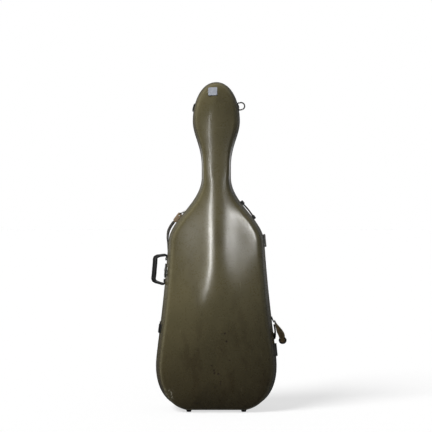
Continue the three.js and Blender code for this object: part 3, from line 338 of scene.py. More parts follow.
def lengths_along(path):
    """The length of a path from its start to each of its points."""
    return np.append(0, np.cumsum(np.linalg.norm(np.diff(path, axis=0), axis=1)))


def tube_piece(name, rings, loop=False):
    """Closed sections (station, point) joined in a row, with flat ends or run round into a loop. u goes
    round the section and v along the row, in millimetres; u is that of the middle station."""
    stations, size = rings.shape[:2]
    faces = grid_faces(stations, size, loop).tolist()
    whole, middle = rings[stations // 2], rings.mean(axis=1)
    u = lengths_along(np.vstack([whole, whole[:1]]))
    v = lengths_along(np.vstack([middle, middle[:1]]) if loop else middle)
    if not loop:
        faces += [list(range(size))[::-1], [(stations - 1) * size + k for k in range(size)]]
    return mesh_piece(name, rings.reshape(-1, 3), faces, uv=grid_uv(u, v, stations, size, loop))


def path_tangents(path, loop=False):
    """Unit directions along a path, each from the point before to the point after."""
    if loop:
        return unit(np.roll(path, -1, axis=0) - np.roll(path, 1, axis=0))
    return unit(np.gradient(path, axis=0))


def sweep(path, up, profile, loop=False):
    """Section (a, b) carried along a path: a runs across, square to the path and to up, b along up."""
    tangent = path_tangents(path, loop)
    across = unit(np.cross(tangent, up))
    lift = np.cross(across, tangent)
    profile = np.broadcast_to(profile, (len(path),) + np.shape(profile)[-2:])
    return path[:, None] + across[:, None] * profile[..., :1] + lift[:, None] * profile[..., 1:]


def rounded_section(width, thickness, radius, base=0.0):
    """Closed section of a rectangle with round corners: four quarter circles of five points, from b = base
    to base + thickness."""
    angle = np.linspace(0, math.pi / 2, 5)
    quarter = np.concatenate([angle + k * math.pi / 2 for k in range(4)])
    centre_a = np.repeat([1, -1, -1, 1], 5) * (width / 2 - radius)
    centre_b = np.repeat([1, 1, -1, -1], 5) * (thickness / 2 - radius) + base + thickness / 2
    return np.stack([centre_a + radius * np.cos(quarter), centre_b + radius * np.sin(quarter)], -1)


def circle_section(radius, sides):
    """Closed section of a circle."""
    angle = np.arange(sides) * 2 * math.pi / sides
    return radius * np.stack([np.cos(angle), np.sin(angle)], -1)


def revolve_piece(name, frames, profile, sides=32):
    """A profile (radius, height) turned about Z, with its ends closed to a point: one in each frame, as one
    mesh."""
    profile = np.vstack([[0, profile[0][1]], profile, [0, profile[-1][1]]])
    rise = np.broadcast_to(profile[:, 1:, None], (len(profile), sides, 1))
    points = np.concatenate([profile[:, :1, None] * circle_section(1.0, sides), rise], -1).reshape(-1, 3)
    faces = grid_faces(len(profile), sides)
    return mesh_piece(name, np.concatenate([into(where, points) for where in frames]),
                      np.concatenate([faces + k * len(points) for k in range(len(frames))]).tolist(),
                      merge=0.001)


def add_modifier(piece, kind, **settings):
    """A modifier on a piece with these settings."""
    modifier = piece.modifiers.new(kind.title(), kind)
    for key, value in settings.items():
        setattr(modifier, key, value)
    return modifier


def soften(piece, width):
    """Rounds the edges that bend more than the soft angle."""
    add_modifier(piece, "BEVEL", width=width / 1000, segments=2, limit_method="ANGLE",
                 angle_limit=math.radians(soft_angle), harden_normals=True)


def dress(piece, finish, node=None, body=None):
    """Gives a finished piece its material, and the node it stands for, whose body it moves with; a piece that
    stands for none has its body named."""
    material, slot = finish
    piece.data.materials.clear()
    piece.data.materials.append(material)
    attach(piece, body or frame["nodes"][node]["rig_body"])
    if node:
        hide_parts(node)
    return piece


def band(name, path, up, section, finish, node=None, body=None, loop=False):
    """A section carried along a path, dressed."""
    return dress(tube_piece(name, sweep(path, up, section, loop), loop), finish, node, body)


def merged_copy(node, suffix):
    """A copy of a solid whose triangles are joined into its flat faces."""
    source = frame["nodes"][node]
    piece = source.copy()
    piece.data = source.data.copy()
    piece.parent = None
    piece.name = f"{node}_{suffix}"
    for key in list(piece.keys()):
        del piece[key]
    bpy.context.scene.collection.objects.link(piece)
    bm = bmesh.new()
    bm.from_mesh(piece.data)
    bmesh.ops.remove_doubles(bm, verts=bm.verts, dist=2e-6)
    bmesh.ops.dissolve_limit(bm, angle_limit=math.radians(1), verts=bm.verts, edges=bm.edges)
    bmesh.ops.recalc_face_normals(bm, faces=bm.faces)
    bm.to_mesh(piece.data)
    bm.free()
    piece.data.shade_smooth()
    return piece


def refined(node, width, finish, suffix):
    """A merged copy of a solid with its edges rounded, which stands for it."""
    piece = merged_copy(node, suffix)
    piece.data.set_sharp_from_angle(angle=math.radians(soft_angle))
    soften(piece, width)
    return dress(piece, finish, node)


def tree_of(piece):
    """The faces of a mesh as something that a ray can meet."""
    mesh = piece.data
    return BVHTree.FromPolygons([v.co for v in mesh.vertices], [p.vertices for p in mesh.polygons])


ray_start = 60  # a ray toward a surface starts this far out


def frame_on(tree, where, x, y):
    """The frame on a piece's surface where a line along Z of another frame, at its x and y, meets the
    piece."""
    out = where[:3, 2]
    hit, normal, _, _ = tree.ray_cast(Vector(settle(into(where, [x, y, ray_start]))), Vector(-out))
    rise = np.array(normal if normal.dot(Vector(out)) > 0 else -normal)
    along = unit(np.cross(rise, where[:3, 0]))
    return make_frame(np.cross(along, rise), along, rise, unsettle(hit))


def add_rivets(name, body, radius, places, seats):
    """Low round rivet heads on solids, at places (x, y) in the frame of each seat, by node."""
    profile = np.array([[1, -0.12], [1, 0.1], [0.94, 0.2], [0.78, 0.3], [0.5, 0.38], [0.2, 0.42]]) * radius
    frames = [frame_on(tree_of(frame["nodes"][node]), where, x, y)
              for node, where in seats.items() for x, y in places]
    dress(revolve_piece(name, frames, profile, sides=20), nickel, body=body)


# Shader maths

def math_method(operation, swapped=False):
    """A method of Field that adds a Math node; swapped puts the field after the number."""
    def method(*values):
        finish = values[0].finish
        inputs = dict(enumerate(values[::-1] if swapped else values))
        return Field(finish, finish.node("Math", {"operation": operation}, inputs).outputs[0])
    return method


class Field:
    """A number that changes over a surface."""

    def __init__(self, finish, socket):
        self.finish, self.socket = finish, socket

    __add__ = __radd__ = math_method("ADD")
    __sub__, __rsub__ = math_method("SUBTRACT"), math_method("SUBTRACT", swapped=True)
    __mul__ = __rmul__ = math_method("MULTIPLY")
    __truediv__, __pow__ = math_method("DIVIDE"), math_method("POWER")
    absolute, sine, fraction = math_method("ABSOLUTE"), math_method("SINE"), math_method("FRACT")
    larger, smaller = math_method("MAXIMUM"), math_method("MINIMUM")

    def ramp(self, low, high, start=0.0, end=1.0):
        """start below low, end above high and a smooth step between."""
        node = self.finish.node("MapRange", {"interpolation_type": "SMOOTHSTEP"}, {
            "Value": self, "From Min": low, "From Max": high, "To Min": start, "To Max": end})
        return Field(self.finish, node.outputs[0])


class Finish:
    """The nodes of a material, a lamp or the world, around the one shader that they feed."""

    def __init__(self, owner, shader="Principled BSDF", **constants):
        owner.use_nodes = True
        self.owner, self.tree = owner, owner.node_tree
        self.shader = self.tree.nodes[shader]
        self.set(**constants)

    def node(self, kind, settings=None, inputs=None):
        """A node of that kind: its settings first, then the values or links of its sockets."""
        node = self.tree.nodes.new("ShaderNode" + kind)
        for key, value in (settings or {}).items():
            setattr(node, key, value)
        for key, value in (inputs or {}).items():
            self.feed(node.inputs[key], value)
        return node

    def feed(self, socket, value):
        """Links a field or an output to a socket, or sets its value."""
        if isinstance(value, Field):
            value = value.socket
        if isinstance(value, bpy.types.NodeSocket):
            self.tree.links.new(value, socket)
        else:
            socket.default_value = value

    def set(self, **values):
        """Feeds the shader's sockets: base_color feeds Base Color."""
        for key, value in values.items():
            self.feed(self.shader.inputs[key.replace("_", " ").title().replace("Ior", "IOR")], value)

    def coordinates(self, kind="Object"):
        return self.node("TexCoord").outputs[kind]

    def parts(self, vector):
        """The three numbers of a vector as fields."""
        return [Field(self, part) for part in self.node("SeparateXYZ", inputs={0: vector}).outputs]

    def attribute(self, name):
        """A number kept at each point of the mesh."""
        return Field(self, self.node("Attribute", {"attribute_name": name}).outputs["Fac"])

    def stretched(self, scale, turn=(0, 0, 0)):
        """The object's coordinates multiplied along each axis, after a turn."""
        return self.node("Mapping", {"vector_type": "POINT"},
                         {"Vector": self.coordinates(), "Scale": scale, "Rotation": turn}).outputs[0]

    def noise(self, scale, detail, roughness, vector=None):
        """Noise from 0 to 1, scale waves per metre, or per unit of a vector."""
        return Field(self, self.node("TexNoise", inputs={
            "Vector": vector or self.coordinates(), "Scale": scale, "Detail": detail,
            "Roughness": roughness}).outputs[0])

    def cells(self, scale):
        """Distance to the nearest of scattered points, scale points per metre."""
        return Field(self, self.node("TexVoronoi", inputs={"Vector": self.coordinates(),
                                                           "Scale": scale}).outputs[0])

    def near(self, place, reach, core):
        """1 near a place (x, z), falling from a share of its reach to 0 at an ellipse that wide and high."""
        x, _, z = self.parts(self.coordinates())
        away = ((x - place[0]) / reach[0]) ** 2 + ((z - place[1]) / reach[1]) ** 2
        return away.ramp(core, 1.0, 1.0, 0.0)

    def mix(self, factor, first, second):
        """From the first colour to the second by a factor."""
        return self.node("Mix", {"data_type": "RGBA"}, {0: factor, 6: first, 7: second}).outputs[2]

    def mottled(self, scale, first, second, detail=4, roughness=0.6, low=0.35):
        """Two colours in clouds, and the clouds themselves."""
        cloud = self.noise(scale, detail, roughness)
        return self.mix(cloud.ramp(low, 1 - low), srgb(*first), srgb(*second)), cloud

    def bump(self, height_field, distance, strength=1.0, before=None):
        """A normal that follows a height; distance is in metres."""
        inputs = {"Height": height_field, "Distance": distance, "Strength": strength}
        if before is not None:
            inputs["Normal"] = before
        return self.node("Bump", inputs=inputs).outputs[0]


def srgb(red, green, blue):
    """A colour written 0 to 255 as the linear numbers that a shader takes."""
    parts = [c / 255 for c in (red, green, blue)]
    return tuple(c / 12.92 if c <= 0.04045 else ((c + 0.055) / 1.055) ** 2.4 for c in parts) + (1.0,)


def new_finish(name, **constants):
    """A new material's nodes."""
    return Finish(bpy.data.materials.new(name), **constants)


def make_lacquer():
    """Olive lacquer over fibreglass: glossy, mottled and stained, with painted shade that makes it darker and
    browner toward the foot, with fine scratches, duller patches, shallow waves left by the mould, rubbed edges,
    a few chips low in the middle and pale scuffs at one corner."""
    f = new_finish("olive_lacquer", metallic=0.0, specular_ior_level=0.35, coat_roughness=0.2, coat_ior=1.5)
    # low is painted shade: 1 at the foot, falling to 0 some 0.6 m up, where the lower case gets little light
    # from below. It also gathers grime and stains toward the foot.
    low = f.parts(f.coordinates())[2].ramp(-0.05, 0.6, 1.0, 0.0)
    speck = f.noise(160, 3, 0.7)
    grime = f.noise(34, 5, 0.75)
    stain = f.noise(1, 4, 0.65, f.stretched((16, 16, 6)))
    ragged = f.cells(48) + f.noise(240, 3, 0.7) * 0.4
    chip = (ragged.ramp(0.38, 0.43, 1.0, 0.0) * f.noise(24, 2, 0.5).ramp(0.46, 0.52)
            * f.near((0.012, 0.23), (1 / 14, 1 / 7), 0.3))
    edge = f.attribute("worn") ** 4
    rubbed = edge * f.noise(90, 4, 0.75).ramp(0.52, 0.6)
    scuff = (f.noise(1, 3, 0.7, f.stretched((240, 60, 90))).ramp(0.56, 0.66)
             * f.near((-0.203, 0.067), (1 / 34, 1 / 24), 0.2))
    hair = f.noise(1, 2, 0.5, f.stretched((9, 9, 420), turn=(0.0, 0.5, 0.0)))
    hair_across = f.noise(1, 2, 0.5, f.stretched((380, 12, 12), turn=(0.3, 0.0, 0.4)))
    scratch = hair.ramp(0.745, 0.76).larger(hair_across.ramp(0.755, 0.77))
    colour, _ = f.mottled(6, (89, 83, 58), (96, 89, 63))
    # The first tint, (57, 50, 31) by low, is painted shade that darkens and browns the foot. The other tints
    # are the lacquer's own marks.
    for share, tint in ((low, (57, 50, 31)),
                        (speck.ramp(0.62, 0.8) * 0.2, (64, 58, 40)),
                        (grime.ramp(0.56, 0.7) * (low * 0.5 + 0.12), (40, 34, 20)),
                        (stain.ramp(0.5, 0.64) * (low * 0.35 + 0.15), (52, 42, 24)),
                        (chip * 0.95, (38, 22, 15)),
                        (edge * 0.3, (122, 117, 94)),
                        (rubbed * 0.35, (132, 126, 100)),
                        (scuff * 0.7, (176, 172, 156)),
                        (scratch * 0.35, (150, 144, 122))):
        colour = f.mix(share, colour, srgb(*tint))
    marred = scratch.larger(scuff).larger(rubbed * 0.5).larger(chip)
    dull = f.noise(30, 4, 0.7).ramp(0.48, 0.66)
    ripple = f.noise(70, 3, 0.6, f.stretched((1.0, 1.0, 0.5)))
    orange_peel = f.noise(260, 1, 0.4)
    normal = f.bump(f.noise(5, 1, 0.4), 0.004, 0.35)
    for rise, distance, strength in ((ripple, 0.0005, 0.35), (orange_peel, 0.00014, 0.6),
                                     (1 - chip, 0.0004, 0.8)):
        normal = f.bump(rise, distance, strength, before=normal)
    f.set(base_color=colour, roughness=speck * 0.12 + 0.22 + marred * 0.3 + dull * 0.06,
          coat_weight=0.55 - marred * 0.35 - dull * 0.16, normal=normal)
    return f.owner


def make_metal(name, colour, second, roughness, brushed=(1, 1, 1), metallic=1.0):
    """Plated metal: brushed along its longest grain, clouded by handling, with small spots of tarnish."""
    f = new_finish(name, metallic=metallic)
    tone, cloud = f.mottled(45, colour, second, roughness=0.65)
    brush = f.noise(420, 2, 0.6, f.stretched(brushed))
    tarnish = f.noise(210, 4, 0.7).ramp(0.56, 0.68)
    f.set(base_color=f.mix(tarnish * 0.55, tone, srgb(52, 47, 38)),
          roughness=brush * 0.12 + cloud * 0.1 + roughness + tarnish * 0.2,
          normal=f.bump(brush, 0.00003, 0.5))
    return f.owner


def make_plain(name, colour, second, roughness, scale, bump_height, **constants):
    """A finish of two mottled colours with a fine grain in its surface."""
    f = new_finish(name, metallic=0.0, **constants)
    grain = f.noise(scale, 2, 0.5)
    f.set(base_color=f.mottled(scale / 8, colour, second, detail=3)[0], roughness=grain * 0.15 + roughness,
          normal=f.bump(grain, bump_height, 0.6))
    return f.owner


def stitches(f, u, v, size, margin, pitch):
    """Sewn dashes along both faces of a band, a margin in from its edges: 1 on the thread. The band's
    section begins at its right edge, so the rows' places follow from its width, thickness and corner
    radius."""
    width, thickness, radius = size
    arc = radius * math.pi / 2
    face = width - 2 * radius
    far = 3 * arc + face + thickness - 2 * radius
    inset = margin - radius
    rows = [arc + inset, arc + face - inset, far + inset, far + face - inset]
    near = (u - rows[0]).absolute()
    for row in rows[1:]:
        near = near.smaller((u - row).absolute())
    dash = ((v / pitch).fraction() - 0.5).absolute().ramp(0.28, 0.36, 1.0, 0.0)
    return near.ramp(0.35, 0.6, 1.0, 0.0) * dash


def make_weave(name, dark, light, pitch, size):
    """Flat woven webbing on the piece's own UV, in millimetres: warp ribs along it crossed by weft, a row
    of stitches near each edge, and paler worn ribs."""
    f = new_finish(name, roughness=0.85, specular_ior_level=0.2, sheen_weight=0.25, sheen_roughness=0.5)
    u, v, _ = f.parts(f.coordinates("UV"))
    turn = 2 * math.pi / pitch
    rib = (u * turn).sine() * (v * turn).sine() * 0.5 + 0.5
    thread = stitches(f, u, v, size, 3.0, 4.0)
    worn = f.noise(60, 4, 0.65).ramp(0.5, 0.7)
    tone = f.mix(rib * 0.6 + worn * 0.4, srgb(*dark), srgb(*light))
    f.set(base_color=f.mix(thread * 0.8, tone, srgb(78, 70, 54)),
          normal=f.bump(rib + thread * 1.5, pitch * 0.0002, 0.8))
    return f.owner


def make_leather(name, colour, second, size):
    """Tan leather: pebbled grain, darkened by hands, and a row of stitches near each edge."""
    f = new_finish(name, specular_ior_level=0.4)
    u, v, _ = f.parts(f.coordinates("UV"))
    thread = stitches(f, u, v, size, 3.2, 4.6)
    tone, cloud = f.mottled(40, colour, second, low=0.38)
    tone = f.mix(f.noise(140, 4, 0.7).ramp(0.56, 0.72) * 0.5, tone, srgb(74, 50, 30))
    f.set(base_color=f.mix(thread * 0.85, tone, srgb(206, 190, 150)), roughness=cloud * 0.2 + 0.45,
          normal=f.bump(thread, 0.0005, 0.8, before=f.bump(f.cells(900), 0.00008, 0.6)))
    return f.owner


# Each finish is a material and the name of a slot.
lacquer = make_lacquer(), "olive_lacquer"
rim_finish = make_plain("dark_rim_lacquer", (38, 36, 30), (46, 43, 35), 0.35, 900, 0.00004), "dark_rim"
rubber = make_plain("black_rubber", (24, 24, 24), (34, 33, 32), 0.75, 1500, 0.00005), "black_rubber"
nickel = make_metal("worn_nickel", (112, 111, 106), (146, 145, 139), 0.24), "nickel"
badge_metal = make_metal("brushed_badge", (176, 181, 192), (196, 200, 208), 0.28, brushed=(0.05, 1, 1),
                         metallic=0.35), "nickel"
black_plastic = make_plain("black_moulded_plastic", (20, 20, 20), (28, 28, 27), 0.42, 1800,
                           0.00006), "black_plastic"
plush = make_plain("wine_plush", (74, 18, 32), (92, 26, 42), 0.95, 1400, 0.0002, sheen_weight=0.6,
                   sheen_roughness=0.4, sheen_tint=srgb(190, 90, 110), specular_ior_level=0.1), "plush"
piping = make_plain("dark_wine_piping", (46, 10, 18), (62, 16, 26), 0.8, 1600, 0.00008), "plush"

# Bands: width, thickness and corner radius
strap_size, grip_size, neck_size = (26, 4.5, 1.8), (20, 5, 1.8), (24, 2.5, 1.0)
tab_size, tail_size = (19, 5, 1.8), (26, 4, 1.5)
webbing = make_weave("dark_webbing", (24, 21, 16), (52, 46, 35), 2.4, strap_size), "webbing"
grip_webbing = make_weave("dark_grip_webbing", (24, 21, 16), (48, 42, 32), 2.0, grip_size), "webbing"
neck_webbing = make_weave("wine_neck_webbing", (60, 14, 26), (92, 30, 44), 1.8, neck_size), "webbing"
tab_leather = make_leather("tan_tab_leather", (132, 108, 76), (104, 82, 56), tab_size), "tan_leather"
tail_leather = make_leather("tan_tail_leather", (122, 102, 66), (96, 80, 50), tail_size), "tan_leather"

# Shells, rims and linings

def shell_skin(half, wall_rows, bend_rows, crown_rows, first=shell_edge):
    """Points and quads of a shell's skin with its spine points joined, its quads facing outward, and how
    near each point is to the middle of the round edge, from 0 to 1."""
    grid = shell_grid(half, wall_rows, bend_rows, crown_rows, first)
    count, rows = grid.shape[:2]
    points, index = np.unique(np.round(grid.reshape(-1, 3), 4), axis=0, return_inverse=True)
    bend = np.sin(np.linspace(0, math.pi, bend_rows + 1))
    nearness = np.concatenate([np.zeros(wall_rows + 1), bend, np.zeros(crown_rows)])
    worn = np.zeros(len(points))
    worn[index.reshape(-1)] = np.tile(nearness, count)
    faces = index.reshape(-1)[grid_faces(count, rows, loop=True, wrap=False)]
    diagonals = points[faces[:, 2]] - points[faces[:, 0]], points[faces[:, 3]] - points[faces[:, 1]]
    if np.cross(*diagonals)[:, 1].sum() * half["sign"] < 0:
        faces = faces[:, ::-1]
    return points, faces, worn


def skin_piece(name, points, faces, worn, inward, thickness):
    """A wall of that thickness whose outside lies a distance inward of a skin."""
    used = [face[np.sort(np.unique(face, return_index=True)[1])] for face in faces]
    piece = mesh_piece(name, points, [face for face in used if len(face) > 2], closed=False, sharp=60)
    piece.data.attributes.new("worn", "FLOAT", "POINT").data.foreach_set("value", worn)
    if inward:
        normals = np.zeros(len(piece.data.vertices) * 3)
        piece.data.vertices.foreach_get("normal", normals)
        moved = settle(points) - normals.reshape(-1, 3) * inward / 1000
        piece.data.vertices.foreach_set("co", moved.ravel())
    add_modifier(piece, "SOLIDIFY", thickness=thickness / 1000, offset=-1, use_even_offset=True)
    return piece


lid_skin, back_skin = shell_skin(lid, 4, 8, 24), shell_skin(back, 5, 10, 24)
back_tree = BVHTree.FromPolygons([Vector(p) for p in back_skin[0]], back_skin[1].tolist())

for label, skin in (("front", lid_skin), ("back", back_skin)):
    dress(skin_piece(f"{label}_shell_lacquered", *skin, 0, shell_wall), lacquer, f"{label}_shell")

lining_near, lining_thickness = shell_wall + clearance, 8.0
for label, half in halves.items():
    skin = shell_skin(half, 4, 8, 24, first=land)
    piece = skin_piece(f"{label}_lining_plush", *skin, lining_near, lining_thickness)
    dress(piece, plush, f"{label}_lining")


def round_seam(section):
    """A section (depth below the outline, distance from the seam) carried round the whole outline."""
    points, normals = fine_columns
    section = np.asarray(section, float)
    x = points[:, :1] - normals[:, :1] * section[:, 0]
    z = points[:, 1:] - normals[:, 1:] * section[:, 0]
    return np.stack([x, np.broadcast_to(section[:, 1], x.shape), z], -1)


def rim_section(half):
    """The U over a shell's edge: a web across it, an outer leg and an inner leg."""
    s, inside = half["sign"], shell_wall + clearance
    near, web, end = s * clearance, s * (clearance + rim_web), s * rim_leg
    return [[-proud, near], [inside + rim_inner, near], [inside + rim_inner, end], [inside, end],
            [inside, web], [-clearance, web], [-clearance, end], [-proud, end]]


def back_rim_section():
    """The back's U with a lip on its inner side that reaches into the lid."""
    plain = rim_section(back)
    lip_outer = plain[1][0] + lip_gap
    lip_inner = lip_outer + lip
    web = clearance + rim_web
    return [plain[0], [lip_outer, clearance], [lip_outer, -lip_reach], [lip_inner, -lip_reach],
            [lip_inner, web], [plain[2][0], web], *plain[2:]]


for label, section in (("front", rim_section(lid)), ("back", back_rim_section())):
    piece = tube_piece(f"{label}_rim_strip", round_seam(section), loop=True)
    soften(piece, 0.5)
    dress(piece, rim_finish, f"{label}_rim")

seal_width, seal_height = 3.3, 4.0
seal_middle = [lining_near + rim_inner + clearance + seal_width / 2, -lip_reach - clearance - seal_height / 2]
seal_section = rounded_section(seal_width, seal_height, 1.4, base=-seal_height / 2) + seal_middle
dress(tube_piece("rim_seal_strip", round_seam(seal_section), loop=True), rubber, "rim_seal")

# Hinges, locks and clips

def upper_and_lower(*stems):
    """The upper and the lower node of each stem."""
    return [f"{stem}_{place}" for stem in stems for place in ("upper", "lower")]


ring_clips = ["head_ring_clip_right", "head_ring_clip_left", "shoulder_ring_clip", "hip_ring_clip"]
for width, suffix, nodes in ((0.4, "plate", upper_and_lower("hinge_leaf_back", "hinge_leaf_lid")),
                             (0.3, "rod", upper_and_lower("hinge_pin")),
                             (0.8, "pressed", upper_and_lower("lock_case")),
                             (0.4, "metal", upper_and_lower("hasp_plate", "hasp", "lock_button")),
                             (0.5, "metal", upper_and_lower("handle_bracket") + ring_clips)):
    for node in nodes:
        refined(node, width, nickel, suffix)
refined("label_plate", 0.3, badge_metal, "metal")

hinge_standoff = 5.6
hinge_low, hinge_high = (into(wall_frame(1, share * height, 0, coarse_columns), [0, 0, hinge_standoff])
                         for share in (0.1748, 0.5111))


def hinge_frame(level):
    """The frame on the hinges' axis at a height: X toward the back, Y along the axis, Z out."""
    along = unit(hinge_high - hinge_low)
    place = hinge_low + (hinge_high - hinge_low) * (level - hinge_low[2]) / (hinge_high[2] - hinge_low[2])
    return make_frame([0, 1, 0], along, np.cross([0, 1, 0], along), place)


# The strap hangs from a line behind the seam, and the clips of its two rings lie crosswise.
shoulder_ring_level, strap_line = 0.6037 * height, 26
clips = {node: turned(wall_frame(side, level, reach, coarse_columns), "Z", turn)
         for node, (side, level, reach, turn) in zip(ring_clips, (
             (1, 0.9274 * height, 32, 0), (-1, 0.9252 * height, 32, 0),
             (-1, shoulder_ring_level, strap_line, 90), (1, 0.28 * height, 30, -90)))}
hinges = {"upper": hinge_frame(0.517 * height), "lower": hinge_frame(0.1837 * height)}
locks = {f"hasp_plate_{place}": wall_frame(-1, share * height, 0, coarse_columns)
         for place, share in (("upper", 0.4237), ("lower", 0.2504))}
badge = {"label_plate": facing_front([-14.8, -120, height - 43.5])}
for label, side in (("back", 1), ("lid", -1)):
    add_rivets(f"hinge_rivets_{label}", f"case_{label}", 3.1,
               [(side * 22, 16), (side * 22, -16), (side * 30, 0)],
               {f"hinge_leaf_{label}_{place}": where for place, where in hinges.items()})
add_rivets("hasp_plate_rivets", "case_lid", 2.3, [(-31, 11), (-31, -11)], locks)
add_rivets("ring_clip_rivets", "case_back", 2.1, [(9.6, 0), (-9.6, 0)], clips)
add_rivets("label_plate_pins", "case_lid", 1.2, [(-15, -15), (-15, 15), (15, -15), (15, 15)], badge)

# Wire rings

# Each ring: radius of its wire, width and depth over all, and height of the bore in its clip's boss
small_ring, head_ring, ring_bend = (2.0, 27.0, 26.0, 3.8), (2.8, 35.0, 33.0, 4.3), 3.0


def ring_path(wire, width, depth):
    """The middle of a D of wire in its frame's Y and Z: a straight bar, two bends, two legs and a half
    circle."""
    half = width / 2 - wire
    straight = depth - 2 * wire - half
    angle = np.linspace(0, math.pi, 25)
    arc = np.stack([half * np.cos(angle), straight + half * np.sin(angle)], -1)
    turn = np.linspace(-math.pi / 2, 0, 7)[:-1]
    bend = np.stack([half - ring_bend + ring_bend * np.cos(turn), ring_bend + ring_bend * np.sin(turn)], -1)
    legs = np.concatenate([bend, arc, (bend * [-1, 1])[::-1]])
    return np.concatenate([np.zeros((len(legs), 1)), legs], axis=1)


for node, fold, (wire, width, depth, boss) in (
        ("head_ring_right", 0, head_ring), ("head_ring_left", 76, head_ring),
        ("shoulder_ring", 62, small_ring), ("hip_ring", 70, small_ring)):
    clip = clips[node.replace("ring", "ring_clip")]
    axis = turned(shifted(clip, z=clearance + boss), "Y", fold)
    band(f"{node}_wire", into(axis, ring_path(wire, width, depth)), axis[:3, 0], circle_section(wire, 14),
         nickel, node, loop=True)

# Side handle

handle_pin, handle_reach, handle_grip, handle_squareness = 8.0, 65.0, 10.0, 0.8
handle_axis = shifted(wall_frame(-1, 0.4259 * height, 54, coarse_columns), z=handle_pin)
handle_top = handle_reach - handle_pin - handle_grip


def handle_rings():
    """Sections of a moulded D: a bow through the pins, the legs and the grip, whose section grows from the
    round pins to a broad oval at the grip. Rows of half: place along and out, half height, half width."""
    half = np.array([[38.8, 0, 2.8, 2.8], [51.5, 0, 2.8, 2.8], [57.5, 1.5, 4.4, 4.8], [60, 9, 5.9, 6.2],
                     [56.5, 26, 6.1, 6.6], [52.5, 39, 7.6, 8.2], [44, handle_top, 9.6, 9.6],
                     [26, handle_top, handle_grip, handle_grip], [0, handle_top, handle_grip, handle_grip]])
    line = smooth_curve(np.concatenate([half, (half * [-1, 1, 1, 1])[-2::-1]]), 121)
    path = np.stack([np.zeros(len(line)), line[:, 0], line[:, 1]], -1)
    circle = circle_section(1.0, 20)
    oval = np.sign(circle) * np.abs(circle) ** handle_squareness
    return sweep(path, np.cross([1.0, 0, 0], path_tangents(path)), oval * line[:, None, 3:1:-1])


dress(tube_piece("side_handle_moulded", into(handle_axis, handle_rings())), black_plastic, "side_handle")

# Carry strap, tab, tail and end piece

# The strap's way over the back: level, turn from the left side toward the back, height over the shell
strap_route = np.stack([
    np.array([0.571, 0.5625, 0.552, 0.5407, 0.5274, 0.5111, 0.4948, 0.4778, 0.4533, 0.4222, 0.3867, 0.3481,
              0.3096, 0.2726, 0.243, 0.2244, 0.2207, 0.2311, 0.2474, 0.2585]) * height,
    [0, 0, 0, 0, 2, 4, 9, 21, 38, 57, 78, 100, 122, 142, 158, 169, 177, 180, 180, 180],
    [10.5, 11.5, 12.5, 12, 9, 6, 3.5, 2.2, 2, 2, 2, 2, 2, 2, 2.2, 3, 5, 9, 10, 8]], -1)


def running_mean(values, reach):
    """Each row replaced by the mean of the rows within reach of it."""
    padded = np.concatenate([np.repeat(values[:1], reach, 0), values, np.repeat(values[-1:], reach, 0)])
    total = np.cumsum(np.concatenate([np.zeros_like(padded[:1]), padded]), axis=0)
    return (total[2 * reach + 1:] - total[:-2 * reach - 1]) / (2 * reach + 1)


def strap_stations():
    """Points and normals along the strap: rays from far outside toward an upright line behind the seam meet
    the back shell, and each point stands off it by the route's lift."""
    places, normals = [], []
    for level, turn, lift in smooth_curve(strap_route, 150):
        out = Vector((-math.cos(math.radians(turn)), math.sin(math.radians(turn)), 0))
        hit, normal, _, _ = back_tree.ray_cast(Vector((0, strap_line, level)) + out * height, -out)
        normal = normal if normal.dot(out) > 0 else -normal
        places.append(hit + normal * lift)
        normals.append(normal)
    return running_mean(np.array(places), 2), unit(running_mean(np.array(normals), 6))


strap_path, strap_normals = strap_stations()


def tipped(path, size, at_start, at_end):
    """The section of a band at each station of its path: as wide as half an ellipse allows within a tip's
    length of an end."""
    length, share = lengths_along(path), np.ones(len(path))
    for tip, left in ((at_start, length), (at_end, length[-1] - length)):
        if tip:
            share *= np.sqrt(1 - np.clip(1 - left / tip, 0, 0.97) ** 2)
    return rounded_section(*size)[None] * np.stack([share, np.ones(len(path))], -1)[:, None]


# Where the strap hangs from its tab it has turned a little, so that its face shows from the front.
hang = np.interp(strap_path[:, 2], (0.49 * height, 0.535 * height), (0, 26))
hang = np.radians(running_mean(hang[:, None], 4))
strap_up = strap_normals * np.cos(hang) + to_front * np.sin(hang)
band("carry_strap_webbing", strap_path, strap_up, tipped(strap_path, strap_size, 8, 8), webbing,
     "carry_strap")

tab_path = smooth_curve([into(wall_frame(-1, shoulder_ring_level - drop, strap_line), [0, 0, 11])
                         for drop in (11, 28, 46)], 50)
tab_rivet_station = 14
tab = band("strap_tab_leather", tab_path, to_front, tipped(tab_path, tab_size, 5, 8), tab_leather,
           "strap_tab")
dress(revolve_piece("strap_tab_rivet",
                    [frame_on(tree_of(tab), facing_front(tab_path[tab_rivet_station]), 0, 0)],
                    np.array([[1, -0.12], [1, 0.15], [0.9, 0.3], [0.6, 0.42], [0.2, 0.48]]) * 3.4, sides=24),
      nickel, body="case_back")

# The tail hangs from the hip's ring, out and down from its clip, and twists from flat to edge on.
hip_seat = clips["hip_ring_clip"][:3, 3]
tail_path = running_mean(smooth_curve([hip_seat + [out, 14, -down] for out, down in (
    (15.5, 13.5), (20, 28), (26.5, 40), (34.5, 54), (43.5, 68), (46.5, 74), (50, 90))], 90), 2)
twist = np.interp(np.linspace(0, 6, 90), range(7), (0, 12, 24, 55, 90, 90, 90))
twist = np.radians(running_mean(twist[:, None], 7))
tail_up = unit(np.array([1.0, 0, 1.0])) * np.cos(twist) + to_front * np.sin(twist)
band("strap_tail_leather", tail_path, tail_up, tipped(tail_path, tail_size, 0, 9), tail_leather,
     "strap_tail")

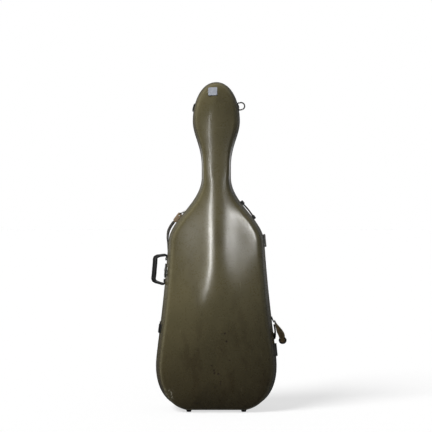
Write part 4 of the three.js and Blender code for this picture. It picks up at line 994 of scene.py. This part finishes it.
# Its end piece: a moulded oval ring with a thin web across its middle.
buckle_middle = hip_seat + [51.5, 18.1, -97.0]
buckle_path = buckle_middle + circle_section(1.0, 64) @ np.array([[13.5, 0, 0], [0, 0, 12.5]])
band("strap_buckle_ring", buckle_path, to_front, rounded_section(6, 8, 2.6, base=-4.0), black_plastic,
     "strap_buckle", loop=True)
dress(revolve_piece("strap_buckle_web", [facing_front(buckle_middle)],
                    [[12.5, -1.6], [12.5, 1.6], [10, 2.1], [4, 2.3]], sides=48),
      tail_leather, body="case_back")

# Short strap handle on the right shoulder

shoulder_level, shoulder_reach, shoulder_lift = 0.6074 * height, 30, 4.5
shoulder_span, shoulder_bow = 60.0, 3.0
shoulder_t = np.linspace(0, 1, 40)
shoulder_frames = [wall_frame(1, shoulder_level + (t - 0.5) * shoulder_span, shoulder_reach)
                   for t in shoulder_t]
shoulder_path = np.array([into(where, [0, 0, shoulder_lift + shoulder_bow * math.sin(math.pi * t)])
                          for where, t in zip(shoulder_frames, shoulder_t)])
shoulder_up = unit(running_mean(np.array([where[:3, 2] for where in shoulder_frames]), 3))
band("shoulder_handle_webbing", shoulder_path, shoulder_up, rounded_section(*grip_size), grip_webbing,
     "shoulder_handle_strap")
for node in upper_and_lower("shoulder_handle_block"):
    refined(node, 1.2, black_plastic, "moulded")

# Feet and corner buffers

foot_radius, foot_inset = 11.0, 12.0
foot_profile = [[7.6, 0], [8.9, 0.3], [9.5, 1.2], [9.8, 3], [10.6, 7.5], [11, 8.4], [11, 8.7]]
buffer_low, buffer_span, buffer_reach, buffer_width, buffer_thickness = 36.0, 42.0, 16, 58.0, 5.0


def buffer_ring(side, share):
    """Section of a rubber guard bent round the lower corner, flat with chamfered edges and lower at both
    ends, at a share of its span."""
    top = buffer_thickness - 2.0 * abs(2 * share - 1) ** 6
    section = [[0, -3.0], [buffer_width, -3.0], [buffer_width, top - 2.2], [buffer_width - 0.6, top - 0.8],
               [buffer_width - 2, top], [2, top], [0.6, top - 0.8], [0, top - 2.2]]
    where = wall_frame(side, buffer_low + buffer_span * share, buffer_reach)
    return into(where, [[a, 0, b] for a, b in section])


for label, half in halves.items():
    reach = depth_at(half, half["wall"], foot_height) - half["corner"] - foot_radius - clearance
    for name, side in (("left", -1), ("right", 1)):
        where = shifted(np.eye(4), side * (base_half - foot_inset), half["sign"] * reach)
        dress(revolve_piece(f"{label}_foot_{name}_rubber", [where], foot_profile), rubber,
              f"{label}_foot_{name}")
for name, side in (("left", -1), ("right", 1)):
    rings = np.array([buffer_ring(side, share) for share in np.linspace(0, 1, 33)])
    dress(tube_piece(f"corner_buffer_{name}_rubber", rings), rubber, f"corner_buffer_{name}")

# Soft fittings

# Metres from point to point along a cord, and the frames in which the cloth is filled
cord_pitch, cloth_frames = 0.003, 20


def positions(mesh):
    """The points of a mesh as an array."""
    flat = np.zeros(len(mesh.vertices) * 3)
    mesh.vertices.foreach_get("co", flat)
    return flat.reshape(-1, 3)


def finished_mesh(piece):
    """What a piece's modifiers make of its mesh."""
    return bpy.data.meshes.new_from_object(piece.evaluated_get(bpy.context.evaluated_depsgraph_get()))


def settle_modifiers(piece):
    """Puts what a piece's modifiers make of it into its mesh, and takes them off."""
    piece.data = finished_mesh(piece)
    piece.modifiers.clear()


def mouth_loops(piece):
    """Points round each large face that looks to the other half of the case, a cord's pitch apart."""
    points = positions(piece.data)
    side = -1 if points[:, 1].mean() > settle([0, 0, 0])[1] else 1
    faces = [face for face in piece.data.polygons if face.normal.y * side > 0.9]
    least = max(face.area for face in faces) / 3
    loops = []
    for face in (face for face in faces if face.area > least):
        corners = points[list(face.vertices)]
        closed = np.vstack([corners, corners[:1]])
        along = lengths_along(closed)
        places = np.linspace(0, along[-1], int(along[-1] / cord_pitch), endpoint=False)
        loops.append(np.stack([np.interp(places, along, closed[:, k]) for k in range(3)], -1))
    return loops


def swell(pads, pressure, limits):
    """Cloth under pressure: each pad is filled with air, and no point moves further than the pad's limit."""
    before = [positions(pad.data) for pad in pads]
    for pad in pads:
        cloth = add_modifier(pad, "CLOTH")
        cloth.settings.use_pressure = True
        cloth.settings.uniform_pressure_force = pressure
        cloth.settings.effector_weights.gravity = 0.0
        cloth.point_cache.frame_end = cloth_frames
    for step in range(1, cloth_frames + 1):
        bpy.context.scene.frame_set(step)
    after = [positions(finished_mesh(pad)) for pad in pads]
    bpy.context.scene.frame_set(1)
    for pad, old, new, limit in zip(pads, before, after, limits):
        pad.modifiers.clear()
        move = new - old
        length = np.linalg.norm(move, axis=1, keepdims=True)
        kept = old + move * np.minimum(1, limit / 1000 / np.maximum(length, 1e-9))
        pad.data.vertices.foreach_set("co", kept.ravel())


cushions = {"bottom_cushion": 7.0, "hip_pad_right": 6.0, "hip_pad_left": 6.0, "shoulder_pad_right": 6.0,
            "shoulder_pad_left": 6.0, "neck_cradle": 4.0}
voxel, shrink, pressure = 4.5, 1.6, 9.0
pads, mouths = [], []
for node in cushions:
    pad = merged_copy(node, "plush")
    mouths.append(mouth_loops(pad))
    add_modifier(pad, "REMESH", mode="VOXEL", voxel_size=voxel / 1000, use_smooth_shade=True)
    add_modifier(pad, "SMOOTH", factor=0.5, iterations=3)
    settle_modifiers(pad)
    add_modifier(pad, "DISPLACE", strength=-shrink / 1000, mid_level=0.0)
    settle_modifiers(pad)
    pads.append(pad)
swell(pads, pressure, list(cushions.values()))
for node, pad, mouth in zip(cushions, pads, mouths):
    add_modifier(pad, "SHRINKWRAP", target=bpy.data.objects["back_lining_plush"],
                 wrap_method="NEAREST_SURFACEPOINT", wrap_mode="OUTSIDE", offset=0.0002)
    settle_modifiers(pad)
    pad.data.shade_smooth()
    seam = tree_of(pad)
    add_modifier(pad, "SUBSURF", levels=1, render_levels=1)
    dress(pad, plush, node)
    for k, loop in enumerate(mouth):
        path = unsettle([seam.find_nearest(Vector(place))[0] for place in loop])
        path = running_mean(np.vstack([path[-2:], path, path[:2]]), 2)[2:-2]
        band(f"{node}_piping_{k}", path, to_front, circle_section(1.5, 8), piping, body="case_back",
             loop=True)

refined("bow_rest_block", 3.0, plush, "plush")
for node in ("accessory_box", "accessory_box_lid", "bow_tip_pocket"):
    refined(node, 0.8, plush, "covered")
for node in ("bow_turn_button_left", "bow_turn_button_right"):
    refined(node, 0.6, black_plastic, "turned")
for label, side in (("lid", -1), ("back", 1)):
    section = circle_section(2.8, 12) + [8.6, side * 13.0]
    dress(tube_piece(f"{label}_lining_piping", round_seam(section), loop=True), piping, body=f"case_{label}")

neck_path = smooth_curve([[x * 37, 25.7 - y * 24, 0.6989 * height] for x, y in (
    (-1, 0), (-0.75, 0.6), (0, 1), (0.75, 0.6), (1, 0))], 60)
band("neck_strap_webbing", neck_path, to_front, rounded_section(*neck_size), neck_webbing, "neck_strap")

# A leather tongue to lift the box's lid by, and a bound edge on the pocket.
box_level, pocket_low, pocket_half = 0.7667 * height, 0.8207 * height - 28, 37.5
tongue_path = smooth_curve([[x, y, box_level] for x, y in (
    (14, 41.6), (24, 41.5), (32, 41.2), (40, 40.4))], 40)
band("accessory_box_tongue", tongue_path, to_front, tipped(tongue_path, (14, 2, 0.9), 5, 8), tab_leather,
     body="accessory_box_lid")
edge_path = np.linspace([-pocket_half, -27.5, pocket_low], [pocket_half, -27.5, pocket_low], 24)
band("bow_pocket_binding", edge_path, [0, 0, -1.0], rounded_section(4.4, 2.4, 1.1, base=-1.6), piping,
     body="case_lid")

# Camera, floor and light

camera_data = bpy.data.cameras.new("camera")
camera_data.sensor_width, camera_data.lens = 36.0, 92.9
camera = add_object("camera", camera_data)
camera.location = (-0.0125, -4.6095, 0.799)
camera.rotation_euler = (math.pi / 2, 0, 0)
bpy.context.scene.camera = camera

ambient, room, glow_of_floor = 0.22, 0.12, 0.68


def light_rays(f):
    """The parts of Light Path that tell who looks: the camera, or a glossy or transmitted ray."""
    path = f.node("LightPath")
    eye, glossy, through_glass = (Field(f, path.outputs[key])
                                  for key in ("Is Camera Ray", "Is Glossy Ray", "Is Transmission Ray"))
    return eye, glossy.larger(through_glass)


def make_floor():
    """A white floor that keeps the shadow: a grey diffuse surface, and for the eye a glow that makes it white
    where the lamps reach. Mirrors see it white where it lies behind the case, and dim round about."""
    f = new_finish("studio_floor", base_color=(0.3, 0.3, 0.3, 1.0), roughness=0.95, specular_ior_level=0.0,
                   emission_color=(1, 1, 1, 1))
    eye, mirror = light_rays(f)
    x, y, _ = f.parts(f.coordinates())
    behind = (y - x.absolute() * 2.2).ramp(0.0, 2.0)
    f.set(emission_strength=eye * glow_of_floor)
    seen = f.node("Emission", inputs={"Strength": behind * 0.9 + room * 0.5})
    surface = f.node("MixShader", inputs={0: mirror, 1: f.shader.outputs[0], 2: seen.outputs[0]})
    f.feed(f.tree.nodes["Material Output"].inputs["Surface"], surface.outputs[0])
    return f.owner


floor_mesh = bpy.data.meshes.new("floor")
floor_mesh.from_pydata([(-60, -60, 0), (60, -60, 0), (60, 60, 0), (-60, 60, 0)], [], [(0, 1, 2, 3)])
floor_mesh.materials.append(make_floor())
add_object("floor", floor_mesh)

# The backdrop behind the case is white to the eye and to mirrors; the room in front of it is dim.
world = bpy.data.worlds.new("studio")
bpy.context.scene.world = world
sky = Finish(world, "Background", color=(1, 1, 1, 1))
eye, mirror = light_rays(sky)
behind = sky.parts(sky.coordinates("Generated"))[1].ramp(0.9, 0.98)
sky.set(strength=eye * (1 - ambient) + mirror * (behind * (1 - room) + room - ambient) + ambient)


def direction(azimuth, elevation):
    """The unit vector from the case that many degrees to the right of the camera's side, and up."""
    a, e = math.radians(azimuth), math.radians(elevation)
    return Vector((math.sin(a) * math.cos(e), -math.cos(a) * math.cos(e), math.sin(e)))


def reflected_lamp(name, azimuth, distance, level, size, watts, full, top=1.0, side=1.0):
    """A flat lamp that only glossy surfaces see, upright at a distance and a level, facing the case. Its
    light grows from none at its foot to all at a share of its height, and falls again to a share at its top
    and to another at one side."""
    data = bpy.data.lights.new(name, "AREA")
    data.shape, data.size, data.size_y, data.energy = "RECTANGLE", size[0], size[1], watts
    glow = Finish(data, "Emission")
    along, rise, _ = glow.parts(glow.node("NewGeometry").outputs["Parametric"])
    glow.set(strength=rise.ramp(0.0, full) * rise.ramp(0.5, 0.85, 1.0, top) * along.ramp(0.0, 1.0, 1.0, side))
    lamp, out = add_object(name, data), direction(azimuth, 0)
    lamp.location = out * distance + Vector((0, 0, level))
    lamp.rotation_euler = (-out).to_track_quat("-Z", "Y").to_euler()
    lamp.visible_diffuse, lamp.visible_camera = False, False


bpy.context.scene.view_settings.view_transform = "Standard"
key = add_object("key_lamp", bpy.data.lights.new("key_lamp", "SUN"))
key.data.energy, key.data.angle = 3.6, math.radians(25)
key.rotation_euler = direction(-52, 48).to_track_quat("Z", "Y").to_euler()
key.visible_glossy = False
reflected_lamp("streak_lamp", -20.4, 0.5, 0.85, (0.026, 0.84), 3.7, full=0.45, top=0.22)
reflected_lamp("window_lamp", 33.2, 0.7, 0.83, (0.085, 0.3), 4.4, full=0.9, side=0.05)
